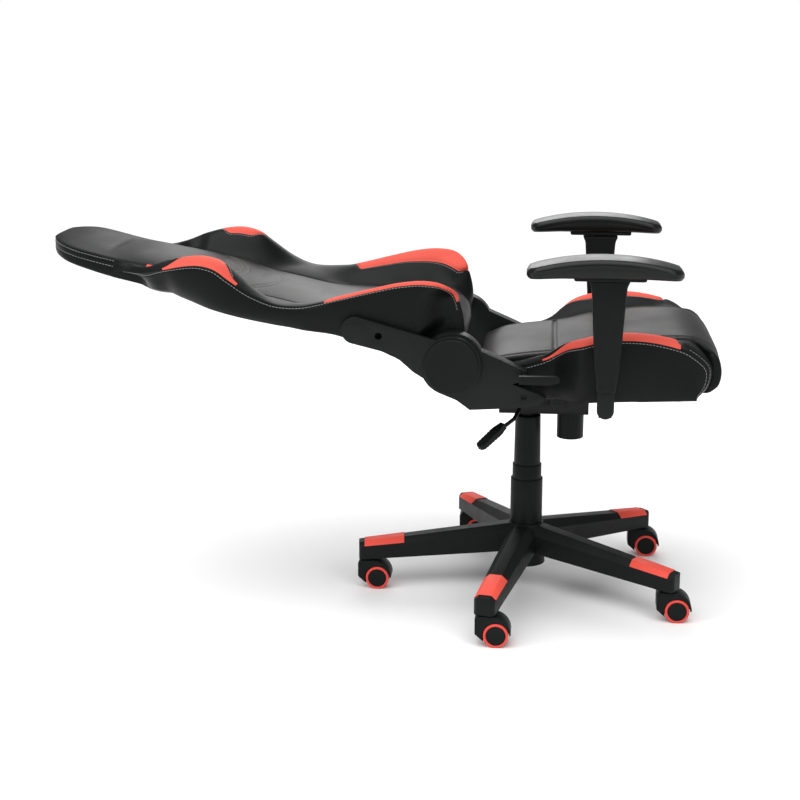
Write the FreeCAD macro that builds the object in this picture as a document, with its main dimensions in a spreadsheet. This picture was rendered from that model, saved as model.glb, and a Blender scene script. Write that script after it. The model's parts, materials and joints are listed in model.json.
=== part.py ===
import FreeCAD, Part
import os
import Sketcher
from FreeCAD import Vector

# Racing-style gaming chair with a five-star base, a gas lift, a tilt mechanism, a reclining
# back and two height-adjustable armrests.  Millimetres, +Z up.  The origin is on the floor
# under the gas lift, the sitter faces -Y and the sitter's left hand is on +X.  The chair is
# drawn with its back laid down; the recline joint raises it.

doc = FreeCAD.newDocument("gaming_chair")
size = doc.addObject("Spreadsheet::Sheet", "size")

# ---------------------------------------------------------------- driving dimensions
DIMENSIONS = (
    ("fit", 0.05, "radial clearance of a shaft that turns or slides in its bore"),
    ("slip", 0.3, "clearance of flat sliding faces"),
    # star base
    ("stem_circle", 338, "radius of the circle through the caster stems"),
    ("first_leg_angle", 23.87, "turn of the first leg from +X, degrees"),
    ("leg_past_stem", 21, "how far a leg runs on past its caster stem"),
    ("leg_root", 20, "radius where the leg's inner section is drawn, inside the hub"),
    ("leg_end_half", 21.5, "half width of a leg at its outer end"),
    ("leg_root_half", 31, "half width of a leg at the hub"),
    ("leg_spine_half", 12.5, "half width of the flat top of a leg"),
    ("leg_end_low", 66, "underside of a leg at its outer end"),
    ("leg_end_shoulder", 95, "top of a leg's side wall at its outer end"),
    ("leg_end_top", 103, "top of a leg at its outer end"),
    ("leg_root_low", 90, "underside of a leg at the hub"),
    ("leg_root_shoulder", 131, "top of a leg's side wall at the hub"),
    ("leg_root_top", 148, "top of a leg at the hub"),
    ("leg_wall", 4, "wall of the moulded leg"),
    ("leg_rib", 3, "thickness of the rib along the middle of a leg"),
    ("leg_end_round", 11, "corner radius of a leg's outer end"),
    ("hub_low", 57, "underside of the hub"),
    ("hub_top", 148, "top of the hub"),
    ("hub_radius_low", 42, "hub radius at its underside"),
    ("hub_radius_top", 37, "hub radius at its top"),
    ("trim_before_stem", 76, "how far inside the stem circle a trim pad starts"),
    ("trim_past_stem", 9, "how far outside the stem circle a trim pad ends"),
    ("trim_thick", 1.6, "thickness of a trim pad"),
    # casters
    ("stem_radius", 5.5, "caster stem"),
    ("stem_low", 48, "lower end of the stem, inside the hood"),
    ("stem_high", 92, "upper end of the stem, inside the leg"),
    ("wheel_radius", 25, "caster wheel with its tyre"),
    ("wheel_trail", 20, "wheel axle behind the stem"),
    ("tyre_inner", 19.2, "inner radius of the tyre"),
    ("wheel_inner_face", 5.5, "inner face of each wheel from the caster's middle"),
    ("wheel_outer_face", 22, "outer face of each wheel from the caster's middle"),
    ("axle_radius", 4, "caster axle"),
    ("hood_half", 21.4, "half width of the hood"),
    ("hood_web", 4.6, "half thickness of the web between the two wheels"),
    ("hood_top", 63.5, "top of the hood"),
    ("hood_back", 21.5, "back of the hood from the stem"),
    ("hood_room", 1.6, "room between tyre and hood"),
    # gas lift and covers
    ("tube_radius", 25, "outer radius of the stand tube"),
    ("tube_wall", 2, "wall of the stand tube"),
    ("tube_low", 62, "bottom of the stand tube"),
    ("tube_top", 258, "top of the stand tube"),
    ("bush_low", 190, "bottom of the guide bush"),
    ("gas_radius", 14, "outer radius of the gas cylinder"),
    ("gas_wall", 2, "wall of the gas cylinder"),
    ("gas_low", 160, "bottom of the gas cylinder"),
    ("gas_top", 436, "top of the gas cylinder"),
    ("gas_end", 6, "thickness of the gas cylinder's lower end"),
    ("rod_radius", 5, "piston rod"),
    ("rod_top", 250, "top of the piston"),
    ("piston_high", 12, "height of the piston"),
    ("pin_radius", 4, "release pin"),
    ("pin_low", 421, "lower end of the release pin"),
    ("pin_high", 441.8, "upper end of the release pin"),
    ("cover_low_radius", 34, "lower column cover"),
    ("cover_mid_radius", 30.8, "middle column cover"),
    ("cover_up_radius", 28.4, "upper column cover at its bottom"),
    ("cover_cup_radius", 26.8, "upper column cover at its top"),
    ("cover_wall", 1.4, "wall of the column covers"),
    ("cover_low_top", 245, "top of the lower cover"),
    ("cover_mid_low", 180, "bottom of the middle cover"),
    ("cover_mid_top", 276, "top of the middle cover"),
    ("cover_up_low", 268, "bottom of the upper cover"),
    ("cover_up_top", 383, "top of the upper cover"),
    # tilt mechanism
    ("housing_half", 58, "half width of the tilt housing"),
    ("housing_front", 125, "front of the tilt housing from the gas lift"),
    ("housing_rear", 60, "rear of the tilt housing from the gas lift"),
    ("housing_low", 400, "underside of the tilt housing"),
    ("housing_top", 446, "top of the tilt housing"),
    ("housing_wall", 2.5, "sheet of the tilt housing"),
    ("socket_radius", 24, "socket that holds the gas cylinder"),
    ("socket_low", 395, "bottom of that socket"),
    ("tilt_axis_front", 60, "tilt shaft in front of the gas lift"),
    ("tilt_axis_high", 430, "height of the tilt shaft"),
    ("tilt_shaft_radius", 6, "tilt shaft"),
    ("knob_front", 89, "tension knob in front of the gas lift"),
    ("knob_radius", 28, "tension knob"),
    ("knob_low", 337, "underside of the tension knob"),
    ("knob_high", 397, "top of the tension knob"),
    ("screw_radius", 6, "tension screw"),
    ("screw_high", 440, "top of the tension screw"),
    ("spring_radius", 14, "outer radius of the tilt spring"),
    ("spring_wire", 4, "wire of the tilt spring"),
    ("plate_half", 110, "half width of the tilt plate"),
    ("plate_front", 150, "front of the tilt plate from the gas lift"),
    ("plate_rear", 95, "rear of the tilt plate from the gas lift"),
    ("plate_low", 455, "underside of the tilt plate"),
    ("plate_thick", 3, "sheet of the tilt plate"),
    ("ear_half", 15, "half length of the ears that hold the tilt shaft"),
    # seat
    ("frame_tube", 11, "radius of the seat frame's tube"),
    ("frame_half", 158, "seat frame's side tubes from the middle"),
    ("frame_front", 300, "front cross tube from the gas lift"),
    ("frame_rear", 95, "rear cross tube from the gas lift"),
    ("pan_thick", 3, "suspension panel"),
    ("cushion_half", 168, "half width of the centre seat cushion"),
    ("bolster_gap", 1, "gap between the seat frame and a bolster"),
    ("bolster_outer", 252, "outer face of a seat bolster"),
    ("bolster_rear", 38, "rear face of a seat bolster in front of the gas lift"),
    ("seat_front", 378, "front of the seat from the gas lift"),
    ("bolt_radius", 3, "mounting bolts of the tilt plate"),
    ("bolt_half", 85, "bolts from the middle"),
    # armrests
    ("arm_middle", 150, "armrest post in front of the gas lift"),
    ("arm_plane", 285.5, "middle of the armrest's steel strips from the chair's middle"),
    ("strip_thick", 6, "steel of the armrest bracket"),
    ("strip_half", 16.5, "half width of that steel"),
    ("bracket_low", 452, "bottom of the armrest bracket"),
    ("bracket_high", 585, "top of the armrest bracket, inside the post"),
    ("bracket_start", 120, "inner end of the armrest bracket"),
    ("post_low", 507, "bottom of the armrest post"),
    ("post_high", 724, "top of the armrest post"),
    ("post_low_half", 18, "half depth of the post at its bottom"),
    ("post_high_half", 37, "half depth of the post at its top"),
    ("post_inner", 275, "inner face of the post"),
    ("post_outer", 303, "outer face of the post"),
    ("slider_half", 15.5, "half width of the sliding bar"),
    ("slider_low", 590, "bottom of the sliding bar"),
    ("pad_plate_thick", 7, "plate under the arm pad"),
    ("pad_plate_half", 67, "half length of that plate"),
    ("pad_middle", 308, "arm pad from the chair's middle"),
    ("pad_half_width", 45, "half width of the arm pad"),
    ("pad_half_length", 145, "half length of the arm pad"),
    ("pad_front", 140, "middle of the arm pad in front of the gas lift"),
    ("pad_crown", 771, "top of the arm pad"),
    ("pad_tip", 742, "middle height of the pad's two ends"),
    ("pad_edge", 13, "half thickness of the pad's ends"),
    ("button_high", 668, "height of the armrest's release button"),
    ("button_half", 11, "half size of the release button"),
    ("button_proud", 5, "how far the button stands out"),
    # recline hinge
    ("hinge_rear", 149, "recline axis behind the gas lift"),
    ("hinge_high", 539, "height of the recline axis"),
    ("hinge_hub", 63, "radius of the seat bracket round the recline axis"),
    ("hinge_pin", 10, "radius of the recline pins"),
    ("bracket_nose", 36, "front end of the hinge bracket in front of the gas lift"),
    ("bracket_foot", 139, "rear end of the hinge bracket's foot behind the gas lift"),
    ("bracket_notch", 3, "front of the hinge bracket's upper edge behind the gas lift"),
    ("bracket_screw_rear", 7, "screw recess of the hinge bracket behind the gas lift"),
    ("bracket_screw_drop", 61, "that recess below the recline axis"),
    ("bracket_screw_radius", 6.5, "radius of that recess"),
    ("bracket_screw_deep", 5, "depth of that recess"),
    ("flange_start", 20, "front of the flange that joins bracket and seat frame"),
    ("flange_end", 90, "rear of that flange"),
    ("flange_drop", 74, "underside of that flange below the recline axis"),
    ("flange_thick", 14, "height of that flange"),
    ("back_arm_reach", 216, "upper end of the back's hinge arm behind the recline axis"),
    ("back_arm_screw", 143, "screw hole of that arm behind the recline axis"),
    ("back_arm_screw_up", 57, "that hole above the recline axis"),
    ("back_arm_screw_radius", 7, "radius of that hole"),
    ("bracket_inner", 190, "inner face of the seat's hinge bracket"),
    ("bracket_outer", 225, "outer face of the seat's hinge bracket"),
    ("arm_plate_inner", 226, "inner face of the back's hinge arm"),
    ("arm_plate_outer", 240, "outer face of the back's hinge arm"),
    ("cap_radius", 54, "hinge cap"),
    ("cap_outer", 250, "outer face of the hinge cap"),
    ("recline_lever_inner", 254, "inner face of the recline lever"),
    ("recline_lever_outer", 264, "outer face of the recline lever"),
    ("recline_pin", 5, "pin of the recline lever"),
    ("recline_lever_front", 58, "front of the recline lever in front of the gas lift"),
    ("recline_pin_rear", 8, "pin of the recline lever behind the gas lift"),
    ("recline_pin_high", 519, "height of that pin"),
    # back
    ("back_length", 854, "length of the back beyond the recline axis"),
    ("back_centre_half", 140, "half width of the back's centre and head"),
    ("wing_low_outer", 186, "outer face of the wings beside the hinge brackets"),
    ("wing_mid_outer", 222, "outer face of the wings inside the hinge arms"),
    ("wing_high_outer", 250, "outer face of the shoulders"),
    ("wing_clear", 126, "radius about the recline axis kept clear for the seat brackets"),
    ("arm_room_rear", 440, "wings stay between the hinge arms as far back as this"),
    ("arm_room_drop", 140, "how far below the recline axis that room starts"),
    ("slot_start", 596, "lower end of the harness slots behind the recline axis"),
    ("slot_wide", 34, "width of the harness slots"),
    ("slot_long", 46, "length of the harness slots"),
    ("shoulder_start", 590, "where the shoulders start to narrow, behind the recline axis"),
    ("shoulder_end", 700, "where the shoulders reach the neck"),
    ("shoulder_step", 36, "how far a shoulder still stands out there"),
    ("back_tube", 9, "radius of the back frame's tube"),
    ("back_tube_half", 165, "back frame's side tubes from the middle"),
    ("head_tube_half", 62, "head tubes from the middle"),
    # height lever
    ("lever_radius", 4, "rod of the height lever"),
    ("lever_pivot_radius", 4.4, "cross pin that the height lever rocks on"),
    ("lever_pivot_half", 6, "half length of that pin"),
    ("grip_radius", 7, "paddle of the height lever"),
)
for row, (alias, number, note) in enumerate(DIMENSIONS, start=1):
    size.set(f"A{row}", alias)
    size.set(f"B{row}", str(number))
    size.setAlias(f"B{row}", alias)
    size.set(f"C{row}", note)
doc.recompute()

LEG_COUNT = 5
LEG_END = "(size.stem_circle + size.leg_past_stem)"
BOLSTER_INNER = "(size.frame_half + size.frame_tube + size.bolster_gap)"
TRIM_START = "(size.stem_circle - size.trim_before_stem)"
TRIM_END = "(size.stem_circle + size.trim_past_stem)"
SIDES = (("left", 1), ("right", -1))
exports = []


# ---------------------------------------------------------------- helpers
def value(expression):
    """Number that an expression of the sheet gives."""
    return float(size.evalExpression(str(expression)))


def node(thing, label):
    """Mark a document object as a sub-part that is written to its own file."""
    thing.Label = label
    exports.append(thing)
    return thing


def new_body(name):
    return doc.addObject("PartDesign::Body", name)


def origin_plane(body, role):
    return next(item for item in body.Origin.OriginFeatures if item.Role == role)


def new_sketch(body, role, offset="0"):
    """Sketch on an origin plane of its body, moved along the plane's normal."""
    sketch = body.newObject("Sketcher::SketchObject", f"{body.Name}_sketch")
    sketch.AttachmentSupport = [(origin_plane(body, role), "")]
    sketch.MapMode = "FlatFace"
    sketch.setExpression("AttachmentOffset.Base.z", offset)
    return sketch


def pin_point(sketch, geometry, corner, across, up):
    """Hold a point of a sketch at a place that the sheet gives."""
    for kind, expression in (("DistanceX", across), ("DistanceY", up)):
        rule = Sketcher.Constraint(kind, -1, 1, geometry, corner, value(expression))
        index = sketch.addConstraint(rule)
        sketch.setExpression(f"Constraints[{index}]", str(expression))


def draw_outline(sketch, points):
    """Closed outline.  A point is (across, up); (across, up, "via") is passed by an arc."""
    places = [Vector(value(point[0]), value(point[1]), 0) for point in points]
    corners = [index for index, point in enumerate(points) if len(point) == 2]
    edges = []
    for here, after in zip(corners, corners[1:] + [corners[0] + len(points)]):
        start, end = places[here], places[after % len(points)]
        if after - here == 1:
            edges.append((sketch.addGeometry(Part.LineSegment(start, end), False), here, None))
            continue
        middle = here + 1
        arc = Part.Arc(start, places[middle], end)
        edges.append((sketch.addGeometry(arc, False), here, middle))
    ends = [edge_ends(sketch, edge, places[here]) for edge, here, _ in edges]
    for number, (edge, here, middle) in enumerate(edges):
        following = (number + 1) % len(edges)
        sketch.addConstraint(Sketcher.Constraint(
            "Coincident", edge, ends[number][1], edges[following][0], ends[following][0]))
        pin_point(sketch, edge, ends[number][0], points[here][0], points[here][1])
        if middle is not None:
            mark = sketch.addGeometry(Part.Point(places[middle]), True)
            pin_point(sketch, mark, 1, points[middle][0], points[middle][1])
            sketch.addConstraint(Sketcher.Constraint("PointOnObject", mark, 1, edge))


def edge_ends(sketch, edge, start):
    """Which ends of a drawn edge are its first and last point."""
    gap = (sketch.getPoint(edge, 1) - start).Length
    return (1, 2) if gap < 1e-6 else (2, 1)


def draw_circle(sketch, across, up, radius):
    centre = Vector(value(across), value(up), 0)
    circle = Part.Circle(centre, Vector(0, 0, 1), value(radius))
    geometry = sketch.addGeometry(circle, False)
    pin_point(sketch, geometry, 3, across, up)
    index = sketch.addConstraint(Sketcher.Constraint("Radius", geometry, value(radius)))
    sketch.setExpression(f"Constraints[{index}]", str(radius))


def pad(body, sketch, length, reverse=False, both=False):
    feature = body.newObject("PartDesign::Pad", f"{body.Name}_pad")
    feature.Profile = sketch
    feature.setExpression("Length", length)
    feature.Reversed = reverse
    feature.SideType = "Symmetric" if both else "One side"
    return feature


def pocket(body, sketch, length, reverse=False, both=False):
    feature = body.newObject("PartDesign::Pocket", f"{body.Name}_pocket")
    feature.Profile = sketch
    feature.setExpression("Length", length)
    feature.Reversed = reverse
    feature.SideType = "Symmetric" if both else "One side"
    return feature


def turned(label, points):
    """Body of revolution about Z from points of radius and height."""
    body = node(new_body(label), label)
    sketch = new_sketch(body, "XZ_Plane")
    draw_outline(sketch, points)
    feature = body.newObject("PartDesign::Revolution", f"{label}_turn")
    feature.Profile = sketch
    feature.ReferenceAxis = (sketch, ["V_Axis"])
    feature.Angle = 360
    return body


def side_slab(body, points, near, far, sign):
    """Plate with an outline in the YZ plane, between two distances from the middle."""
    sketch = new_sketch(body, "YZ_Plane", f"{sign} * ({near})")
    draw_outline(sketch, points)
    return pad(body, sketch, f"({far}) - ({near})", reverse=sign < 0)


def side_hole(body, across, up, radius, near, far, sign):
    sketch = new_sketch(body, "YZ_Plane", f"{sign} * ({near})")
    draw_circle(sketch, across, up, radius)
    return pocket(body, sketch, f"({far}) - ({near})", reverse=sign > 0)


def side_pin(body, across, up, radius, near, far, sign):
    sketch = new_sketch(body, "YZ_Plane", f"{sign} * ({near})")
    draw_circle(sketch, across, up, radius)
    return pad(body, sketch, f"({far}) - ({near})", reverse=sign < 0)


def rod(start, end, radius):
    """Round bar between two places."""
    return Part.makeCylinder(radius, (end - start).Length, start, end - start)


def solid_node(label, shape):
    feature = doc.addObject("Part::Feature", label)
    feature.Shape = shape
    return node(feature, label)


def smooth(points):
    """Smooth curve through places in the YZ plane."""
    curve = Part.BSplineCurve()
    curve.interpolate([Vector(0, across, up) for across, up in points])
    return curve.toShape()


def slab_between(edges, near, far):
    """Closed outline of YZ edges, extruded from one X to another."""
    face = Part.Face(Part.Wire(edges))
    face.translate(Vector(near, 0, 0))
    return face.extrude(Vector(far - near, 0, 0))


def straight(start, end):
    return Part.makeLine(Vector(0, *start), Vector(0, *end))


# ---------------------------------------------------------------- star base
def leg_line(end, root, radius):
    """Expression of a leg height at a radius, between its root and its outer end."""
    share = f"(({radius}) - size.leg_root) / ({LEG_END} - size.leg_root)"
    return f"({root}) + (({end}) - ({root})) * {share}"


def leg_section(radius):
    low = leg_line("size.leg_end_low", "size.leg_root_low", radius)
    shoulder = leg_line("size.leg_end_shoulder", "size.leg_root_shoulder", radius)
    top = leg_line("size.leg_end_top", "size.leg_root_top", radius)
    half = leg_line("size.leg_end_half", "size.leg_root_half", radius)
    return low, shoulder, top, half


def leg_sketch(body, radius):
    low, shoulder, top, half = leg_section(radius)
    spine = "size.leg_spine_half"
    sketch = new_sketch(body, "YZ_Plane", radius)
    draw_outline(sketch, [(f"-({half})", low), (half, low), (half, shoulder), (spine, top),
                          (f"-{spine}", top), (f"-({half})", shoulder)])
    return sketch


def hollow_sketch(body, radius, side):
    low, shoulder, _, half = leg_section(radius)
    near = f"{side} * size.leg_rib / 2"
    far = f"{side} * (({half}) - size.leg_wall)"
    sketch = new_sketch(body, "YZ_Plane", radius)
    draw_outline(sketch, [(near, f"({low}) - 1"), (far, f"({low}) - 1"),
                          (far, f"({shoulder}) - size.leg_wall"),
                          (near, f"({shoulder}) - size.leg_wall")])
    return sketch


def leg_loft(name, sections):
    body = new_body(name)
    feature = body.newObject("PartDesign::AdditiveLoft", f"{name}_loft")
    sketches = [draw(body, radius) for draw, radius in sections]
    feature.Profile = sketches[0]
    feature.Sections = sketches[1:]
    feature.Ruled = True
    return body


def ring_of_legs(shape):
    """Copies of a shape at every leg of the star."""
    first = value("size.first_leg_angle")
    copies = []
    for number in range(LEG_COUNT):
        copy = shape.copy()
        copy.rotate(Vector(), Vector(0, 0, 1), first + 360 / LEG_COUNT * number)
        copies.append(copy)
    return copies


def leg_end_prism():
    """Upright prism whose outer end has the rounded corners of a leg."""
    end, turn = LEG_END, "size.leg_end_round"
    half = leg_line("size.leg_end_half", "size.leg_root_half", f"{end} - {turn}")
    corner = f"0.2929 * {turn}"
    wide = "3 * size.leg_root_half"
    body = new_body("leg_end_prism")
    sketch = new_sketch(body, "XY_Plane")
    draw_outline(sketch, [("0", f"-{wide}"), (f"{end} - {turn}", f"-{wide}"),
                          (f"{end} - {turn}", f"-({half})"),
                          (f"{end} - {corner}", f"-({half}) + {corner}", "via"),
                          (end, f"-({half}) + {turn}"), (end, f"({half}) - {turn}"),
                          (f"{end} - {corner}", f"({half}) - {corner}", "via"),
                          (f"{end} - {turn}", half), (f"{end} - {turn}", wide),
                          ("0", wide)])
    pad(body, sketch, "size.leg_root_top + 10")
    return body


def make_star_base():
    block = leg_loft("leg_block", [(leg_sketch, "size.leg_root"), (leg_sketch, LEG_END)])
    prism = leg_end_prism()
    inner = "size.hub_radius_low + size.leg_wall"
    outer = "size.stem_circle - size.stem_radius - 3 * size.leg_wall"
    hollows = []
    for side, word in ((1, "left"), (-1, "right")):
        def draw(body, radius, side=side):
            return hollow_sketch(body, radius, side)
        hollows.append(leg_loft(f"leg_hollow_{word}", [(draw, inner), (draw, outer)]))
    doc.recompute()
    stem = Vector(value("size.stem_circle"), 0, value("size.leg_end_low - 5"))
    bore = Part.makeCylinder(value("size.stem_radius"), value("size.stem_high") - stem.z, stem)
    leg = block.Shape.common(prism.Shape)
    leg = leg.cut([hollow.Shape for hollow in hollows] + [bore])
    low = value("size.hub_low")
    height = value("size.hub_top") - low
    hub = Part.makeCone(value("size.hub_radius_low"), value("size.hub_radius_top"), height,
                        Vector(0, 0, low))
    tube = Part.makeCylinder(value("size.tube_radius"), height + 2, Vector(0, 0, low - 1))
    solid_node("star_base", hub.fuse(ring_of_legs(leg)).cut(tube).removeSplitter())


def trim_sketch(body, radius):
    _, shoulder, top, half = leg_section(radius)
    spine = "size.leg_spine_half"
    thick = "size.trim_thick"
    sketch = new_sketch(body, "YZ_Plane", radius)
    draw_outline(sketch, [(f"-({half})", shoulder), (f"-{spine}", top), (spine, top),
                          (half, shoulder), (half, f"({shoulder}) + {thick}"),
                          (spine, f"({top}) + {thick}"), (f"-{spine}", f"({top}) + {thick}"),
                          (f"-({half})", f"({shoulder}) + {thick}")])
    return sketch


def make_trim_pads():
    strip = leg_loft("trim_strip", [(trim_sketch, TRIM_START), (trim_sketch, TRIM_END)])
    doc.recompute()
    solid_node("base_trim_pads", Part.makeCompound(ring_of_legs(strip.Shape)))


def make_stems():
    low = value("size.stem_low")
    stem = Part.makeCylinder(value("size.stem_radius"), value("size.stem_high") - low,
                             Vector(value("size.stem_circle"), 0, low))
    solid_node("caster_stems", Part.makeCompound(ring_of_legs(stem)))


# ---------------------------------------------------------------- column
def tube_outline(outer, inner, low, high):
    return [(inner, low), (outer, low), (outer, high), (inner, high)]


def make_column():
    tube, wall = "size.tube_radius", "size.tube_wall"
    bore = f"{tube} - {wall}"
    rod_hole = "size.rod_radius + size.fit"
    floor = f"size.tube_low + 2 * {wall}"
    turned("stand_tube", [("size.rod_radius", "size.tube_low"), (tube, "size.tube_low"),
                          (tube, "size.tube_top"), (bore, "size.tube_top"), (bore, floor),
                          ("size.rod_radius", floor)])
    turned("guide_bush", tube_outline(bore, "size.gas_radius + size.fit", "size.bush_low",
                                      "size.tube_top"))
    turned("thrust_bearing", tube_outline("size.gas_radius + 4", "size.rod_radius + 0.6", floor,
                                          f"{floor} + 7"))
    inner = "size.gas_radius - size.gas_wall"
    piston = f"{inner} - size.fit"
    turned("piston_rod", [("0", "size.tube_low"), ("size.rod_radius", "size.tube_low"),
                          ("size.rod_radius", "size.rod_top - size.piston_high"),
                          (piston, "size.rod_top - size.piston_high"), (piston, "size.rod_top"),
                          ("0", "size.rod_top")])
    pin_bore = "size.pin_radius + size.fit"
    pin_floor = "size.pin_low - 6"
    chamber = f"{pin_floor} - size.gas_end"
    turned("gas_cylinder", [(rod_hole, "size.gas_low"), ("size.gas_radius", "size.gas_low"),
                            ("size.gas_radius", "size.gas_top"), (pin_bore, "size.gas_top"),
                            (pin_bore, pin_floor), ("0", pin_floor), ("0", chamber),
                            (inner, chamber), (inner, "size.gas_low + size.gas_end"),
                            (rod_hole, "size.gas_low + size.gas_end")])
    turned("release_pin", [("0", "size.pin_low"), ("size.pin_radius", "size.pin_low"),
                           ("size.pin_radius", "size.pin_high"), ("0", "size.pin_high")])
    wall = "size.cover_wall"
    turned("lower_cover", tube_outline("size.cover_low_radius",
                                       f"size.cover_low_radius - {wall}", "size.hub_top",
                                       "size.cover_low_top"))
    turned("middle_cover", tube_outline("size.cover_mid_radius",
                                        f"size.cover_mid_radius - {wall}", "size.cover_mid_low",
                                        "size.cover_mid_top"))
    cup = "size.cover_cup_radius"
    hole = "size.gas_radius + size.slip"
    deck = "size.cover_up_top - 7"
    turned("upper_cover", [(f"size.cover_up_radius - {wall}", "size.cover_up_low"),
                           ("size.cover_up_radius", "size.cover_up_low"),
                           (cup, "size.cover_up_top"), (f"{cup} - {wall}", "size.cover_up_top"),
                           (f"{cup} - {wall}", deck), (hole, deck), (hole, f"{deck} - {wall}"),
                           (f"{cup} - {wall}", f"{deck} - {wall}")])


# ---------------------------------------------------------------- casters
def make_caster(number):
    """Twin-wheel caster; its axle lies along X and trails to the front."""
    angle = f"(size.first_leg_angle + {360 / LEG_COUNT * (number - 1)}) * 1 deg"
    where = {"Placement.Base.x": f"size.stem_circle * cos({angle})",
             "Placement.Base.y": f"size.stem_circle * sin({angle})"}

    def put(thing):
        for name, expression in where.items():
            thing.setExpression(name, expression)

    hood = node(new_body(f"caster_hood_{number}"), f"caster_hood_{number}")
    put(hood)
    axle, high, back = "-size.wheel_trail", "size.wheel_radius", "size.hood_back"
    shell = "size.wheel_radius + size.hood_room + 3"
    room = "size.wheel_radius + size.hood_room"
    outline = [("6", "14"), (back, "28"), (back, "size.hood_top - 6"),
               (f"{back} - 6", "size.hood_top"), ("-14", "size.hood_top"),
               (f"{axle} - 0.76 * ({shell})", f"{high} + 0.8 * ({shell})", "via"),
               (f"{axle} - ({shell})", f"{high} + 2"), (f"{axle} - 8", f"{high} - 12"),
               (f"{axle} + 10", f"{high} - 13")]
    sketch = new_sketch(hood, "YZ_Plane")
    draw_outline(sketch, outline)
    pad(hood, sketch, "2 * size.hood_half", both=True)
    for sign in (1, -1):
        side_hole(hood, axle, high, room, "size.hood_web", "size.hood_half + 1", sign)
    hole = new_sketch(hood, "YZ_Plane")
    draw_circle(hole, axle, high, "size.axle_radius + size.fit")
    pocket(hood, hole, "3 * size.hood_half", both=True)
    socket = new_sketch(hood, "XY_Plane", "size.stem_low - 1")
    draw_circle(socket, "0", "0", "size.stem_radius + size.fit")
    pocket(hood, socket, "size.hood_top - size.stem_low + 2", reverse=True)

    hub = node(new_body(f"caster_hub_{number}"), f"caster_hub_{number}")
    put(hub)
    side_pin(hub, axle, high, "size.axle_radius", "-size.wheel_inner_face",
             "size.wheel_inner_face", 1)
    for sign in (1, -1):
        side_pin(hub, axle, high, "size.tyre_inner", "size.wheel_inner_face",
                 "size.wheel_outer_face", sign)
    hub.AllowCompound = True

    tyres = node(new_body(f"caster_tyre_{number}"), f"caster_tyre_{number}")
    put(tyres)
    tyres.AllowCompound = True
    for sign in (1, -1):
        ring = new_sketch(tyres, "YZ_Plane", f"{sign} * size.wheel_inner_face")
        draw_circle(ring, axle, high, "size.wheel_radius")
        draw_circle(ring, axle, high, "size.tyre_inner")
        pad(tyres, ring, "size.wheel_outer_face - size.wheel_inner_face", reverse=sign < 0)


# ---------------------------------------------------------------- tilt mechanism
def make_housing():
    half, wall = "size.housing_half", "size.housing_wall"
    front, rear = "-size.housing_front", "size.housing_rear"
    body = node(new_body("tilt_housing"), "tilt_housing")
    outer = new_sketch(body, "XY_Plane", "size.housing_low")
    draw_outline(outer, [(f"-{half}", front), (half, front), (half, rear), (f"-{half}", rear)])
    pad(body, outer, "size.housing_top - size.housing_low")
    room = new_sketch(body, "XY_Plane", f"size.housing_low + {wall}")
    draw_outline(room, [(f"-{half} + {wall}", f"{front} + {wall}"),
                        (f"{half} - {wall}", f"{front} + {wall}"),
                        (f"{half} - {wall}", f"{rear} - {wall}"),
                        (f"-{half} + {wall}", f"{rear} - {wall}")])
    pocket(body, room, "size.housing_top - size.housing_low", reverse=True)
    socket = new_sketch(body, "XY_Plane", "size.socket_low")
    draw_circle(socket, "0", "0", "size.socket_radius")
    pad(body, socket, "size.gas_top - 4 - size.socket_low")
    bore = new_sketch(body, "XY_Plane", "size.socket_low - 1")
    draw_circle(bore, "0", "0", "size.gas_radius + size.fit")
    pocket(body, bore, "size.housing_top - size.socket_low + 2", reverse=True)
    screw = new_sketch(body, "XY_Plane", "size.housing_low - 1")
    draw_circle(screw, "0", "-size.knob_front", "size.screw_radius + size.fit")
    pocket(body, screw, f"{wall} + 2", reverse=True)
    shaft = new_sketch(body, "YZ_Plane")
    draw_circle(shaft, "-size.tilt_axis_front", "size.tilt_axis_high",
                "size.tilt_shaft_radius + size.fit")
    pocket(body, shaft, f"2 * {half} + 2", both=True)
    slot = new_sketch(body, "YZ_Plane", f"-{half} - 1")
    draw_outline(slot, [("-4", "424"), ("16", "424"), ("16", "size.housing_top + 1"),
                        ("-4", "size.housing_top + 1")])
    pocket(body, slot, f"{wall} + 2", reverse=True)


def make_mechanism():
    make_housing()
    spring = turned("tilt_spring", tube_outline(
        "size.spring_radius", "size.spring_radius - size.spring_wire",
        "size.housing_low + size.housing_wall", "size.screw_high - 5"))
    knob = turned("tension_knob", [
        ("0", "size.knob_low"), ("size.knob_radius - 3", "size.knob_low"),
        ("size.knob_radius", "size.knob_low + 3"), ("size.knob_radius", "size.knob_high"),
        ("size.screw_radius", "size.knob_high"), ("size.screw_radius", "size.screw_high"),
        ("0", "size.screw_high")])
    for body in (spring, knob):
        body.setExpression("Placement.Base.y", "-size.knob_front")
    shaft = node(new_body("tilt_shaft"), "tilt_shaft")
    side_pin(shaft, "-size.tilt_axis_front", "size.tilt_axis_high", "size.tilt_shaft_radius",
             "-size.housing_half - 9", "size.housing_half + 9", 1)


# height lever: places of its bent rod, from over the release pin to the paddle
LEVER_TIP = Vector(6, 0, 448.6)
LEVER_PIVOT = Vector(-57, 6, 436)
LEVER_BEND = Vector(-148, 26, 412)
LEVER_GRIP = Vector(-166, 52, 395)
LEVER_END = Vector(-189, 84, 374)


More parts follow.
